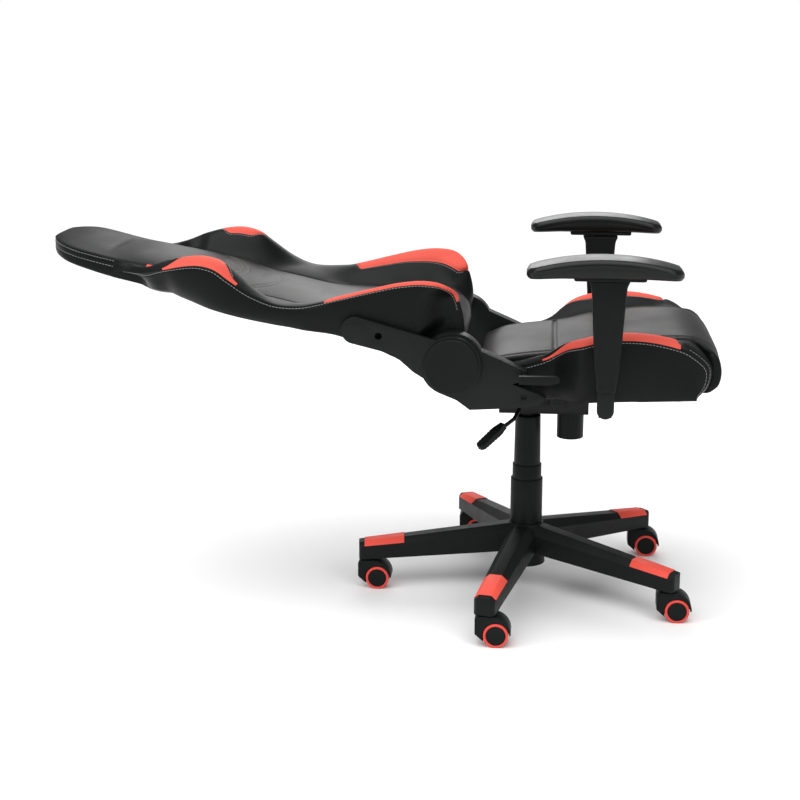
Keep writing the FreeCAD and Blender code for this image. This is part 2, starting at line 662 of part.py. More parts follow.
def make_height_lever():
    radius = value("size.lever_radius")
    route = (LEVER_TIP, LEVER_PIVOT, LEVER_BEND, LEVER_GRIP)
    runs = [rod(start, end, radius) for start, end in zip(route, route[1:])]
    knees = [Part.makeSphere(radius, place) for place in route[1:-1]]
    reach = Vector(0, value("size.lever_pivot_half"), 0)
    pivot = rod(LEVER_PIVOT - reach, LEVER_PIVOT + reach, value("size.lever_pivot_radius"))
    solid_node("height_lever", runs[0].fuse(runs[1:] + knees + [pivot]))
    solid_node("height_lever_grip", rod(LEVER_GRIP, LEVER_END, value("size.grip_radius")))


# ---------------------------------------------------------------- seat structure
def make_tilt_plate():
    half, low, thick = "size.plate_half", "size.plate_low", "size.plate_thick"
    front, rear = "-size.plate_front", "size.plate_rear"
    inside = "(size.housing_half + 2)"
    body = node(new_body("tilt_plate"), "tilt_plate")
    sheet = new_sketch(body, "XY_Plane", low)
    draw_outline(sheet, [(f"-{half}", front), (half, front), (half, rear), (f"-{half}", rear)])
    pad(body, sheet, thick)
    window = new_sketch(body, "XY_Plane", f"{low} - 1")
    draw_outline(window, [(f"-{inside}", f"{front} + 20"), (inside, f"{front} + 20"),
                          (inside, f"{rear} - 20"), (f"-{inside}", f"{rear} - 20")])
    pocket(body, window, f"{thick} + 2", reverse=True)
    for sign in (1, -1):
        ear = [("-size.tilt_axis_front - size.ear_half", "size.tilt_axis_high - 12"),
               ("-size.tilt_axis_front + size.ear_half", "size.tilt_axis_high - 12"),
               ("-size.tilt_axis_front + size.ear_half", f"{low} + {thick}"),
               ("-size.tilt_axis_front - size.ear_half", f"{low} + {thick}")]
        side_slab(body, ear, inside, f"{inside} + {thick}", sign)
    shaft = new_sketch(body, "YZ_Plane")
    draw_circle(shaft, "-size.tilt_axis_front", "size.tilt_axis_high", "size.tilt_shaft_radius")
    pocket(body, shaft, f"2 * {half}", both=True)
    holes = new_sketch(body, "XY_Plane", f"{low} - 1")
    for across in ("size.bolt_half", "-size.bolt_half"):
        for along in (f"{front} + 10", f"{rear} - 10"):
            draw_circle(holes, across, along, "size.bolt_radius")
    pocket(body, holes, f"{thick} + 2", reverse=True)


def frame_level():
    """Height of the middle of the seat frame's tube."""
    return value("size.plate_low + size.plate_thick + size.frame_tube")


def bolt_places():
    half = value("size.bolt_half")
    rows = (value("10 - size.plate_front"), value("size.plate_rear - 10"))
    return [(across, along) for across in (half, -half) for along in rows]


def make_seat_frame():
    radius, half = value("size.frame_tube"), value("size.frame_half")
    front, rear = -value("size.frame_front"), value("size.frame_rear")
    level = frame_level()
    corners = [Vector(half, front, level), Vector(half, rear, level),
               Vector(-half, rear, level), Vector(-half, front, level)]
    tubes = [rod(start, end, radius) for start, end in zip(corners, corners[1:] + corners[:1])]
    tubes += [Part.makeSphere(radius, place) for place in corners]
    bar_low = level - radius
    bar_high = 9
    for along in (value("10 - size.plate_front"), value("size.plate_rear - 10")):
        tubes.append(Part.makeBox(2 * half, 16, bar_high, Vector(-half, along - 8, bar_low)))
    bolt = value("size.bolt_radius")
    holes = [Part.makeCylinder(bolt, bar_high + 2 * radius, Vector(*place, bar_low - 1))
             for place in bolt_places()]
    solid_node("seat_frame", tubes[0].fuse(tubes[1:]).cut(holes))
    low = value("size.plate_low")
    bolts = []
    for place in bolt_places():
        shank = Part.makeCylinder(bolt, bar_low + bar_high - low, Vector(*place, low))
        head = Part.makeCylinder(2 * bolt, bolt, Vector(*place, low - bolt))
        bolts.append(shank.fuse(head))
    solid_node("seat_bolts", Part.makeCompound(bolts))
    top = level + radius
    pan = Part.makeBox(2 * half, rear - front, value("size.pan_thick"), Vector(-half, front, top))
    solid_node("seat_pan", pan)


def make_seat_cushion():
    low = frame_level() + value("size.frame_tube + size.pan_thick")
    front = -value("size.seat_front")
    half = value("size.cushion_half")
    rear = value("size.hinge_rear") - 52
    top = smooth([(rear, 524), (62, 540), (15, 550), (-52, 557), (-145, 579), (-260, 588),
                  (front + 40, 584), (front + 9, 562), (front, 534), (front + 5, 502),
                  (front + 22, low)])
    floor = straight((front + 22, low), (rear, low))
    back = straight((rear, low), (rear, 524))
    solid_node("seat_cushion", slab_between([top, floor, back], -half, half))


def make_bolster(word, sign):
    near, far = value(BOLSTER_INNER), value("size.bolster_outer")
    rear = -value("size.bolster_rear")
    front = -value("size.seat_front") + 24
    top = smooth([(rear, 551), (-80, 586), (-128, 603), (-185, 610), (-262, 603), (-318, 583),
                  (front, 545), (front + 6, 502), (front + 26, 482)])
    lower = straight((front + 26, 482), (-129, 473))
    floor = straight((-129, 473), (rear, 462))
    back = straight((rear, 462), (rear, 551))
    shape = slab_between([top, lower, floor, back], sign * near, sign * far)
    solid_node(f"seat_bolster_{word}", shape)


# ---------------------------------------------------------------- armrests
def make_armrest(word, sign):
    plane, middle = "size.arm_plane", "-size.arm_middle"
    strip = "size.strip_thick / 2"
    bracket = node(new_body(f"arm_bracket_{word}"), f"arm_bracket_{word}")
    half = "size.strip_half"
    upright = [(f"{middle} - {half}", f"size.bracket_low + {half}"),
               (middle, "size.bracket_low", "via"),
               (f"{middle} + {half}", f"size.bracket_low + {half}"),
               (f"{middle} + {half}", "size.bracket_high"),
               (f"{middle} - {half}", "size.bracket_high")]
    side_slab(bracket, upright, f"{plane} - {strip}", f"{plane} + {strip}", sign)
    tail = "size.bracket_low + size.strip_thick - 0.4"
    foot = [(f"{middle} - {half} + 4", "size.bracket_low + 2"),
            (f"{middle} + {half} - 4", "size.bracket_low + 2"),
            (f"{middle} + {half} - 4", tail), (f"{middle} - {half} + 4", tail)]
    side_slab(bracket, foot, "size.bracket_start", plane, sign)

    post = node(new_body(f"arm_post_{word}"), f"arm_post_{word}")
    shape = [(f"{middle} - size.post_low_half", "size.post_low"),
             (f"{middle} + size.post_low_half", "size.post_low"),
             (f"{middle} + size.post_low_half + 4", "size.post_low + 60"),
             (f"{middle} + size.post_high_half - 3", "size.post_high - 40"),
             (f"{middle} + size.post_high_half", "size.post_high"),
             (f"{middle} - size.post_high_half", "size.post_high"),
             (f"{middle} - size.post_high_half + 3", "size.post_high - 40"),
             (f"{middle} - size.post_low_half - 4", "size.post_low + 60")]
    side_slab(post, shape, "size.post_inner", "size.post_outer", sign)
    room = new_sketch(post, "XY_Plane", "size.post_low - 1")
    gap = f"{strip} + size.slip"
    wide = f"{half} + size.slip"
    draw_outline(room, [(f"{sign} * ({plane}) - ({gap})", f"{middle} - ({wide})"),
                        (f"{sign} * ({plane}) + ({gap})", f"{middle} - ({wide})"),
                        (f"{sign} * ({plane}) + ({gap})", f"{middle} + ({wide})"),
                        (f"{sign} * ({plane}) - ({gap})", f"{middle} + ({wide})")])
    pocket(post, room, "size.post_high - size.post_low + 2", reverse=True)
    button = "size.button_half"
    opening = [(f"{middle} - {button} - size.slip", f"size.button_high - {button} - size.slip"),
               (f"{middle} + {button} + size.slip", f"size.button_high - {button} - size.slip"),
               (f"{middle} + {button} + size.slip", f"size.button_high + {button} + size.slip"),
               (f"{middle} - {button} - size.slip", f"size.button_high + {button} + size.slip")]
    window = new_sketch(post, "YZ_Plane", f"{sign} * (size.post_inner - 1)")
    draw_outline(window, opening)
    pocket(post, window, f"{plane} - size.post_inner", reverse=sign > 0)

    slider = node(new_body(f"arm_slider_{word}"), f"arm_slider_{word}")
    bar_half = "size.slider_half"
    bar = [(f"{middle} - {bar_half}", "size.slider_low"),
           (f"{middle} + {bar_half}", "size.slider_low"),
           (f"{middle} + {bar_half}", "size.post_high + 3"),
           (f"{middle} - {bar_half}", "size.post_high + 3")]
    side_slab(slider, bar, f"{plane} - {strip}", f"{plane} + {strip}", sign)
    plate = "size.pad_plate_half"
    top = "size.post_high + 2 + size.pad_plate_thick"
    deck = [(f"{middle} - {plate}", "size.post_high + 4"),
            (f"{middle} - {plate} + 3", "size.post_high + 2"),
            (f"{middle} + {plate} - 3", "size.post_high + 2"),
            (f"{middle} + {plate}", "size.post_high + 4"), (f"{middle} + {plate}", top),
            (f"{middle} - {plate}", top)]
    side_slab(slider, deck, "size.pad_middle - 36", "size.pad_middle + 22", sign)

    cushion = node(new_body(f"arm_pad_{word}"), f"arm_pad_{word}")
    centre, length = "-size.pad_front", "size.pad_half_length"
    edge = "size.pad_edge"
    crescent = [(f"{centre} - {length} + 8", f"size.pad_tip - {edge}"),
                (f"{middle} - {plate} - 8", top), (f"{middle} + {plate} + 8", top),
                (f"{centre} + {length} - 8", f"size.pad_tip - {edge}"),
                (f"{centre} + {length}", "size.pad_tip", "via"),
                (f"{centre} + {length} - 12", f"size.pad_tip + {edge} - 2"),
                (centre, "size.pad_crown", "via"),
                (f"{centre} - {length} + 12", f"size.pad_tip + {edge} - 2"),
                (f"{centre} - {length}", "size.pad_tip", "via")]
    side_slab(cushion, crescent, "size.pad_middle - size.pad_half_width",
              "size.pad_middle + size.pad_half_width", sign)

    key = node(new_body(f"arm_button_{word}"), f"arm_button_{word}")
    face = [(f"{middle} - {button}", f"size.button_high - {button}"),
            (f"{middle} + {button}", f"size.button_high - {button}"),
            (f"{middle} + {button}", f"size.button_high + {button}"),
            (f"{middle} - {button}", f"size.button_high + {button}")]
    side_slab(key, face, "size.post_inner - size.button_proud", "size.post_inner + 3", sign)


# ---------------------------------------------------------------- recline hinge
def make_hinge(word, sign):
    across, up = "size.hinge_rear", "size.hinge_high"
    hub, pin = "size.hinge_hub", "size.hinge_pin"
    bracket = node(new_body(f"hinge_bracket_{word}"), f"hinge_bracket_{word}")
    notch, nose, foot = "size.bracket_notch", "-size.bracket_nose", "size.bracket_foot"
    tail = [(f"{across} - 0.9 * {hub}", f"{up} + 0.44 * {hub}"),
            (f"{notch} + 44", f"{up} + 8"), (notch, f"{up} - 12"), (notch, f"{up} - 29"),
            (f"{notch} + 27", f"{up} - 37"), (f"{nose} + 12", f"{up} - 57"),
            (nose, f"{up} - 66"), (f"{nose} + 13", f"{up} - 79"),
            (f"{nose} + 55", f"{up} - 85"), (f"{foot} - 26", f"{up} - 91"),
            (foot, f"{up} - 72"),
            (f"{across} + 0.34 * {hub}", f"{up} - 0.94 * {hub}"),
            (f"{across} + {hub}", up, "via")]
    side_slab(bracket, tail, "size.bracket_inner", "size.bracket_outer", sign)
    side_hole(bracket, across, up, f"{pin} + size.fit", "size.bracket_inner - 1",
              "size.bracket_outer + 1", sign)
    side_hole(bracket, "size.bracket_screw_rear", f"{up} - size.bracket_screw_drop",
              "size.bracket_screw_radius", "size.bracket_outer - size.bracket_screw_deep",
              "size.bracket_outer + 1", sign)
    low = f"{up} - size.flange_drop"
    flange = [("size.flange_start", low), ("size.flange_end", low),
              ("size.flange_end", f"{low} + size.flange_thick"),
              ("size.flange_start", f"{low} + size.flange_thick")]
    side_slab(bracket, flange, "size.frame_half + size.frame_tube", "size.bracket_inner", sign)
    if sign < 0:
        side_hole(bracket, "size.recline_pin_rear", "size.recline_pin_high",
                  "size.recline_pin + size.fit", "size.bracket_inner - 1",
                  "size.bracket_outer + 1", sign)

    arm = node(new_body(f"back_arm_{word}"), f"back_arm_{word}")
    end = f"{across} + size.back_arm_reach"
    plate = [(f"{end} - 31", f"{up} + 93"), (f"{across} + 30", f"{up} + 50"),
             (f"{across} - 58", up, "via"), (f"{across} + 30", f"{up} - 50"),
             (f"{across} + 54", f"{up} - 26"), (f"{across} + 75", f"{up} - 13"),
             (f"{across} + 101", f"{up} + 10"), (f"{across} + 129", f"{up} + 25"),
             (f"{end} - 22", f"{up} + 41"), (end, f"{up} + 71", "via")]
    side_slab(arm, plate, "size.arm_plate_inner", "size.arm_plate_outer", sign)
    side_hole(arm, f"{across} + size.back_arm_screw", f"{up} + size.back_arm_screw_up",
              "size.back_arm_screw_radius", "size.arm_plate_inner - 1",
              "size.arm_plate_outer + 1", sign)
    side_pin(arm, across, up, pin, "size.bracket_inner", "size.arm_plate_inner", sign)


def make_hinge_caps():
    caps = []
    for _, sign in SIDES:
        start = Vector(sign * value("size.arm_plate_outer"), value("size.hinge_rear"),
                       value("size.hinge_high"))
        thick = value("size.cap_outer - size.arm_plate_outer")
        disc = Part.makeCylinder(value("size.cap_radius"), thick, start, Vector(sign, 0, 0))
        rim = [edge for edge in disc.Edges
               if abs(abs(edge.BoundBox.Center.x) - value("size.cap_outer")) < 0.01
               and edge.Length > 10 * thick]
        caps.append(disc.makeFillet(2.5, rim))
    solid_node("hinge_caps", Part.makeCompound(caps))


def make_recline_lever():
    body = node(new_body("recline_lever"), "recline_lever")
    rear, high = "size.recline_pin_rear", "size.recline_pin_high"
    front = "-size.recline_lever_front"
    tab = [(f"{rear} + 9", f"{high} - 8"), (f"{rear} + 9", f"{high} + 8"),
           (front, f"{high} + 9"), (f"{front} - 4", f"{high} + 2", "via"),
           (front, f"{high} - 5"), (f"{front} + 18", f"{high} - 9")]
    side_slab(body, tab, "size.recline_lever_inner", "size.recline_lever_outer", -1)
    side_pin(body, rear, high, "size.recline_pin", "size.bracket_outer - 20",
             "size.recline_lever_inner", -1)


# ---------------------------------------------------------------- back
# The back's outlines, as distance behind the recline axis and height above it.
BACK_REAR = ((60, -12), (120, 12), (213, 46), (295, 66), (402, 86), (496, 107), (590, 122),
             (648, 136), (707, 152), (765, 176), (805, 194), (838, 210))
CENTRE_FRONT = ((-20, 33), (-15, 60), (5, 82), (151, 91), (281, 96), (355, 112), (437, 132),
                (465, 142), (551, 160), (609, 171), (672, 184), (757, 205), (800, 216),
                (836, 222))
WING_FRONT = ((-20, 31), (-23, 72), (-17, 108), (-4, 140), (20, 157), (55, 163), (95, 160),
              (160, 146), (215, 132), (260, 122), (310, 118), (345, 122), (385, 142), (425, 170),
              (455, 189), (486, 196), (530, 187), (575, 170), (612, 156), (650, 158),
              (690, 167))
BACK_LENGTH_DRAWN = 854


def back_curve(points):
    stretch = value("size.back_length") / BACK_LENGTH_DRAWN
    rear, high = value("size.hinge_rear"), value("size.hinge_high")
    places = [(rear + along * (stretch if along > 200 else 1), high + up)
              for along, up in points]
    return smooth(places), places[0], places[-1]


def closed_slab(front_points, rear_points, near, far):
    front, front_start, front_end = back_curve(front_points)
    rear, rear_start, rear_end = back_curve(rear_points)
    edges = [front, straight(front_end, rear_end), rear, straight(rear_start, front_start)]
    return slab_between(edges, near, far)


def tube_point(half, along, up):
    stretch = value("size.back_length") / BACK_LENGTH_DRAWN
    return Vector(half, value("size.hinge_rear") + along * stretch,
                  value("size.hinge_high") + up)


def back_frame_shape():
    radius = value("size.back_tube")
    side, head = value("size.back_tube_half"), value("size.head_tube_half")
    reach = value("size.arm_plate_inner")
    tubes = []
    for sign in (1, -1):
        tubes.append(rod(tube_point(sign * side, 81, 42), tube_point(sign * side, 560, 146),
                         radius))
        tubes.append(rod(tube_point(sign * head, 556, 141), tube_point(sign * head, 740, 181),
                         radius))
        tubes.append(Part.makeSphere(radius, tube_point(sign * side, 560, 146)))
        tubes.append(Part.makeSphere(radius, tube_point(sign * head, 740, 181)))
    tubes.append(rod(tube_point(-side, 560, 146), tube_point(side, 560, 146), radius))
    tubes.append(rod(tube_point(-head, 740, 181), tube_point(head, 740, 181), radius))
    low = tube_point(0, 81, 42)
    tubes.append(rod(low - Vector(reach, 0, 0), low + Vector(reach, 0, 0), radius))
    return tubes[0].fuse(tubes[1:])


def make_back():
    frame = back_frame_shape()
    solid_node("back_frame", frame)
    half = value("size.back_centre_half")
    centre = closed_slab(CENTRE_FRONT, BACK_REAR, -half, half)
    solid_node("back_pad", centre.cut(frame))
    rear_to_here, high = value("size.hinge_rear"), value("size.hinge_high")
    mid, outer = value("size.wing_mid_outer"), value("size.wing_high_outer")
    arm_zone = Part.makeBox(outer, value("size.arm_room_rear"), high,
                            Vector(mid, 0, high - value("size.arm_room_drop")))
    hub_zone = Part.makeCylinder(value("size.wing_clear"), outer,
                                 Vector(value("size.wing_low_outer"), rear_to_here, high),
                                 Vector(1, 0, 0))
    slot_start = tube_point(half + 1, value("size.slot_start"), 0)
    slot = Part.makeBox(value("size.slot_wide"), value("size.slot_long"), high,
                        Vector(slot_start.x, slot_start.y, high))
    start, end = value("size.shoulder_start"), value("size.shoulder_end")
    neck = half + value("size.shoulder_step")
    beyond = tube_point(0, 2 * end, 0).y
    plan = [Vector(outer + 10, tube_point(0, start, 0).y, high),
            Vector(neck, tube_point(0, end, 0).y, high),
            Vector(neck, beyond, high), Vector(outer + 10, beyond, high)]
    corner = Part.Face(Part.makePolygon(plan + plan[:1])).extrude(Vector(0, 0, high))
    cutters = [arm_zone, hub_zone, slot, corner]
    for word, sign in SIDES:
        wing = closed_slab(WING_FRONT, BACK_REAR[:9], sign * (half + 1), sign * outer)
        tools = cutters if sign > 0 else [tool.mirror(Vector(), Vector(1, 0, 0))
                                          for tool in cutters]
        solid_node(f"back_wing_{word}", wing.cut(tools + [frame]))


# ---------------------------------------------------------------- the whole chair
def make_chair():
    make_star_base()
    make_trim_pads()
    make_stems()
    make_column()
    for number in range(1, LEG_COUNT + 1):
        make_caster(number)
    make_mechanism()
    make_height_lever()
    make_tilt_plate()
    make_seat_frame()
    make_seat_cushion()
    for word, sign in SIDES:
        make_bolster(word, sign)
        make_armrest(word, sign)
        make_hinge(word, sign)
    make_hinge_caps()
    make_recline_lever()
    make_back()


def check_and_write():
    doc.recompute()
    for thing in doc.Objects:
        if {"Invalid", "Error"} & set(thing.State):
            raise RuntimeError(f"{thing.Name} did not build: {thing.State}")
    os.makedirs("parts", exist_ok=True)
    for thing in exports:
        if thing.Shape.isNull() or not thing.Shape.isValid() or thing.Shape.Volume <= 0:
            raise RuntimeError(f"{thing.Label} has no valid shape")
        thing.Shape.exportStep(f"parts/{thing.Label}.step")
        print(thing.Label, len(thing.Shape.Solids), round(thing.Shape.Volume / 1000, 1), "cm3")
    print(len(exports), "sub-parts")


make_chair()
check_and_write()
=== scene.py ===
import json
import math

import bpy
import numpy as np
from mathutils import Matrix, Vector
from mathutils.bvhtree import BVHTree


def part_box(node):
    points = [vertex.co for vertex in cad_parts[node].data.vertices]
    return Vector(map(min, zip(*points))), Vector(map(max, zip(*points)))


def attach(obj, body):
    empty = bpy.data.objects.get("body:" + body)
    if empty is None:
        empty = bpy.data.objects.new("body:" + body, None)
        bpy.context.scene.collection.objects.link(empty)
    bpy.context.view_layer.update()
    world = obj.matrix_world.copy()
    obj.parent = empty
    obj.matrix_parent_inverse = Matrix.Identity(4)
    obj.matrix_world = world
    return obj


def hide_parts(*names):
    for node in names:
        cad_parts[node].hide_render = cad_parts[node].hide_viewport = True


# The chair faces -Y and the sitter's left is +X. Lengths are in metres, and bare outlines in millimetres.
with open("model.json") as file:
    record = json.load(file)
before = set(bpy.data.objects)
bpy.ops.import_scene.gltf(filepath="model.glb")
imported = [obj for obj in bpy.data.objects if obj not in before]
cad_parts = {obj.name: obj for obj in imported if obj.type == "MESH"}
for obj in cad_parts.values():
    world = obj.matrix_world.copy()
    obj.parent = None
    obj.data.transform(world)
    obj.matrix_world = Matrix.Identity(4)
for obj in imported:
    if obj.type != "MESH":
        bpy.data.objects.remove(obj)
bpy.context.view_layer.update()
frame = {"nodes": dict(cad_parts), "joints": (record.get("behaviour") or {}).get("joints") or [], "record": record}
bpy.ops.object.select_all(action="DESELECT")

MM = 0.001
JOINTS = {joint["name"]: joint for joint in frame["joints"]}
HINGE = Vector(JOINTS["back_recline"]["pos_m"])
BODY_OF = {node: body for body, nodes in frame["record"]["behaviour"]["bodies"].items() for node in nodes}
SIDES = (("left", 1), ("right", -1))
CASTERS = range(1, 6)


# ---------------------------------------------------------------- shared shader effects
def effect(name, inputs, outputs):
    """An empty shader node group with its sockets, and its first and last node."""
    group = bpy.data.node_groups.new(name, "ShaderNodeTree")
    for label, default in inputs:
        socket = group.interface.new_socket(name=label, in_out="INPUT", socket_type="NodeSocketFloat")
        socket.default_value = default
    for label in outputs:
        group.interface.new_socket(name=label, in_out="OUTPUT", socket_type="NodeSocketFloat")
    return group, group.nodes.new("NodeGroupInput"), group.nodes.new("NodeGroupOutput")


def texture(group, kind, scale, **settings):
    """A texture node on object coordinates. Scale is a number or an output socket."""
    place = group.nodes.new("ShaderNodeTexCoord")
    node = group.nodes.new(kind)
    group.links.new(place.outputs["Object"], node.inputs["Vector"])
    if isinstance(scale, (int, float)):
        node.inputs["Scale"].default_value = scale
    else:
        group.links.new(scale, node.inputs["Scale"])
    for label, value in settings.items():
        if label in ("feature", "noise_dimensions"):
            setattr(node, label, value)
        else:
            node.inputs[label.capitalize()].default_value = value
    return node


def sum_of(group, kind, first, second):
    """A Math node of that kind over two sockets or numbers."""
    node = group.nodes.new("ShaderNodeMath")
    node.operation = kind
    for socket, value in zip(node.inputs, (first, second)):
        if isinstance(value, (int, float)):
            socket.default_value = value
        else:
            group.links.new(value, socket)
    return node.outputs[0]


def leather_grain():
    """Pebbled grain with soft creases: a height, a mask of its valleys, which the finish paints darker as painted
    shade in the grain's recesses, and a slow change of tone.
    """
    inputs = (("Pebbles", 700.0), ("Pebble depth", 1.0), ("Crease depth", 1.0))
    group, start, end = effect("Leather grain", inputs, ("Height", "Valley shade and spark", "Tone"))
    pebbles = texture(group, "ShaderNodeTexVoronoi", start.outputs["Pebbles"], feature="SMOOTH_F1")
    pebbles.inputs["Smoothness"].default_value = 0.35
    creases = texture(group, "ShaderNodeTexNoise", 55.0, detail=4.0, roughness=0.6)
    tone = texture(group, "ShaderNodeTexNoise", 7.0, detail=3.0, roughness=0.5)
    grain = sum_of(group, "MULTIPLY", pebbles.outputs["Distance"], start.outputs["Pebble depth"])
    folds = sum_of(group, "MULTIPLY", creases.outputs["Fac"], start.outputs["Crease depth"])
    height = sum_of(group, "SUBTRACT", folds, grain)
    group.links.new(height, end.inputs["Height"])
    # The valleys' mask, which the finish paints darker as painted shade in the grain.
    group.links.new(pebbles.outputs["Distance"], end.inputs["Valley shade and spark"])
    group.links.new(tone.outputs["Fac"], end.inputs["Tone"])
    return group


def moulded_skin():
    """The fine spark texture of a moulded or powder-coated face, with handling marks."""
    inputs = (("Spark", 1500.0), ("Spark depth", 1.0), ("Orange peel", 1.0))
    group, start, end = effect("Moulded skin", inputs, ("Height", "Valley shade and spark", "Tone"))
    spark = texture(group, "ShaderNodeTexNoise", start.outputs["Spark"], detail=2.0, roughness=0.5)
    peel = texture(group, "ShaderNodeTexNoise", 140.0, detail=2.0, roughness=0.4)
    tone = texture(group, "ShaderNodeTexNoise", 18.0, detail=5.0, roughness=0.65)
    fine = sum_of(group, "MULTIPLY", spark.outputs["Fac"], start.outputs["Spark depth"])
    broad = sum_of(group, "MULTIPLY", peel.outputs["Fac"], start.outputs["Orange peel"])
    group.links.new(sum_of(group, "ADD", fine, broad), end.inputs["Height"])
    group.links.new(spark.outputs["Fac"], end.inputs["Valley shade and spark"])
    group.links.new(tone.outputs["Fac"], end.inputs["Tone"])
    return group


LEATHER_GRAIN = leather_grain()
MOULDED_SKIN = moulded_skin()


def material(name, skin, values, light, dark, gloss, bump, **constants):
    """A finish: light on the high points and dark in the valleys, roughness between the two gloss values. On
    leather the dark valleys are painted shade in the grain, varied by a random tone; on moulded faces the dark
    marks are a random spark.
    """
    made = bpy.data.materials.new(name)
    made.use_nodes = True
    tree = made.node_tree
    shader = tree.nodes["Principled BSDF"]
    surface = tree.nodes.new("ShaderNodeGroup")
    surface.node_tree = skin
    for label, value in values.items():
        surface.inputs[label].default_value = value
    shade = tree.nodes.new("ShaderNodeMix")
    shade.data_type = "RGBA"
    shade.inputs["A"].default_value = (*light, 1)
    shade.inputs["B"].default_value = (*dark, 1)
    # Painted shade in the leather grain's valleys times a random tone; on moulded faces a random spark times that
    # tone.
    mask = sum_of(tree, "MULTIPLY", surface.outputs["Valley shade and spark"], surface.outputs["Tone"])
    tree.links.new(sum_of(tree, "MULTIPLY", mask, 1.6), shade.inputs["Factor"])
    tree.links.new(shade.outputs["Result"], shader.inputs["Base Color"])
    rough = tree.nodes.new("ShaderNodeMapRange")
    rough.inputs["From Min"].default_value = 0.3
    rough.inputs["From Max"].default_value = 0.7
    rough.inputs["To Min"].default_value = gloss[0]
    rough.inputs["To Max"].default_value = gloss[1]
    tree.links.new(surface.outputs["Tone"], rough.inputs["Value"])
    tree.links.new(rough.outputs["Result"], shader.inputs["Roughness"])
    relief = tree.nodes.new("ShaderNodeBump")
    relief.inputs["Strength"].default_value = 0.6
    relief.inputs["Distance"].default_value = bump
    tree.links.new(surface.outputs["Height"], relief.inputs["Height"])
    tree.links.new(relief.outputs["Normal"], shader.inputs["Normal"])
    for label, value in constants.items():
        shader.inputs[label.replace("_", " ")].default_value = value
    return made


HIDE = {"Pebbles": 620.0, "Pebble depth": 0.55, "Crease depth": 0.45}
SMOOTH_HIDE = {"Pebbles": 760.0, "Pebble depth": 0.4, "Crease depth": 0.7}
PLASTIC = {"Spark": 1400.0, "Spark depth": 0.5, "Orange peel": 0.15}
POWDER = {"Spark": 900.0, "Spark depth": 0.8, "Orange peel": 0.3}
SATIN = {"Spark": 2200.0, "Spark depth": 0.2, "Orange peel": 0.1}

MATT = {"Specular_IOR_Level": 0.13}
FINISH = {
    "leatherette": material("Black_leatherette", LEATHER_GRAIN, HIDE, (0.0058, 0.0068, 0.0065),
                            (0.0026, 0.0030, 0.0029), (0.36, 0.48), 0.0006, **MATT),
    # Lighter leatherette for the centre panels of seat and back: a painted sheen, its light colour standing in for
    # the reflection of the bright room on those panels.
    "grey_leatherette": material("Painted_sheen_leatherette", LEATHER_GRAIN, SMOOTH_HIDE, (0.028, 0.0262, 0.0254),
                                 (0.013, 0.0121, 0.0117), (0.36, 0.46), 0.0005, Specular_IOR_Level=0.14),
    "coral_leatherette": material("Coral_leatherette", LEATHER_GRAIN, SMOOTH_HIDE, (0.76, 0.108, 0.076),
                                  (0.60, 0.078, 0.055), (0.46, 0.56), 0.0005, Specular_IOR_Level=0.12),
    "coral_plastic": material("Coral_plastic", MOULDED_SKIN, PLASTIC, (0.86, 0.10, 0.070),
                              (0.74, 0.08, 0.055), (0.46, 0.56), 0.0003, Specular_IOR_Level=0.16),
    "coral_tyre": material("Coral_tyre", MOULDED_SKIN, SATIN, (0.82, 0.085, 0.066),
                           (0.68, 0.065, 0.05), (0.36, 0.48), 0.0002, Specular_IOR_Level=0.2),
    "nylon": material("Black_nylon", MOULDED_SKIN, PLASTIC, (0.0078, 0.0092, 0.0088),
                      (0.0040, 0.0048, 0.0046), (0.40, 0.52), 0.0004, **MATT),
    "black_steel": material("Powder_coated_steel", MOULDED_SKIN, POWDER, (0.0066, 0.0078, 0.0075),
                            (0.0034, 0.0040, 0.0039), (0.34, 0.46), 0.0004, Specular_IOR_Level=0.2),
    "bright_steel": material("Bright_steel", MOULDED_SKIN, SATIN, (0.62, 0.62, 0.63),
                             (0.42, 0.42, 0.43), (0.18, 0.32), 0.0001, Metallic=1.0),
    "acetal": material("Acetal", MOULDED_SKIN, SATIN, (0.62, 0.60, 0.55),
                       (0.5, 0.48, 0.44), (0.35, 0.45), 0.0001),
    "webbing": material("Webbing", MOULDED_SKIN, POWDER, (0.02, 0.02, 0.021),
                        (0.01, 0.01, 0.01), (0.75, 0.9), 0.0006, **MATT),
    "arm_foam": material("Arm_foam", MOULDED_SKIN, SATIN, (0.0068, 0.0076, 0.0074),
                         (0.0040, 0.0046, 0.0044), (0.27, 0.36), 0.0003, Specular_IOR_Level=0.22),
    "thread": material("Thread", MOULDED_SKIN, POWDER, (0.30, 0.31, 0.30),
                       (0.20, 0.20, 0.20), (0.6, 0.75), 0.0002, **MATT),
}


# ---------------------------------------------------------------- lines and shaping
def smooth_line(points):
    """A smooth line through the points, as a function of the share of its length, from 0 to 1."""
    knots = np.array(points, float)
    at = np.concatenate(([0.0], np.cumsum(np.linalg.norm(np.diff(knots, axis=0), axis=1))))
    slope = np.gradient(knots, at, axis=0)

    def point(share):
        length = np.clip(np.asarray(share, float), 0, 1) * at[-1]
        before = np.clip(np.searchsorted(at, length, side="right") - 1, 0, len(at) - 2)
        span = (at[before + 1] - at[before])[..., None]
        t = (length - at[before])[..., None] / span
        return ((2 * t**3 - 3 * t**2 + 1) * knots[before] + (t**3 - 2 * t**2 + t) * span * slope[before]
                + (3 * t**2 - 2 * t**3) * knots[before + 1] + (t**3 - t**2) * span * slope[before + 1])

    point.length = at[-1]
    return point


def share_where(line, axis, value):
    """The share of a line's length at which its coordinate first reaches the value."""
    shares = np.linspace(0, 1, 801)
    return float(shares[np.argmax(line(shares)[:, axis] >= value)])


def length_to(line, axis, value):
    """The length of a line up to where its coordinate first reaches the value."""
    return share_where(line, axis, value) * line.length


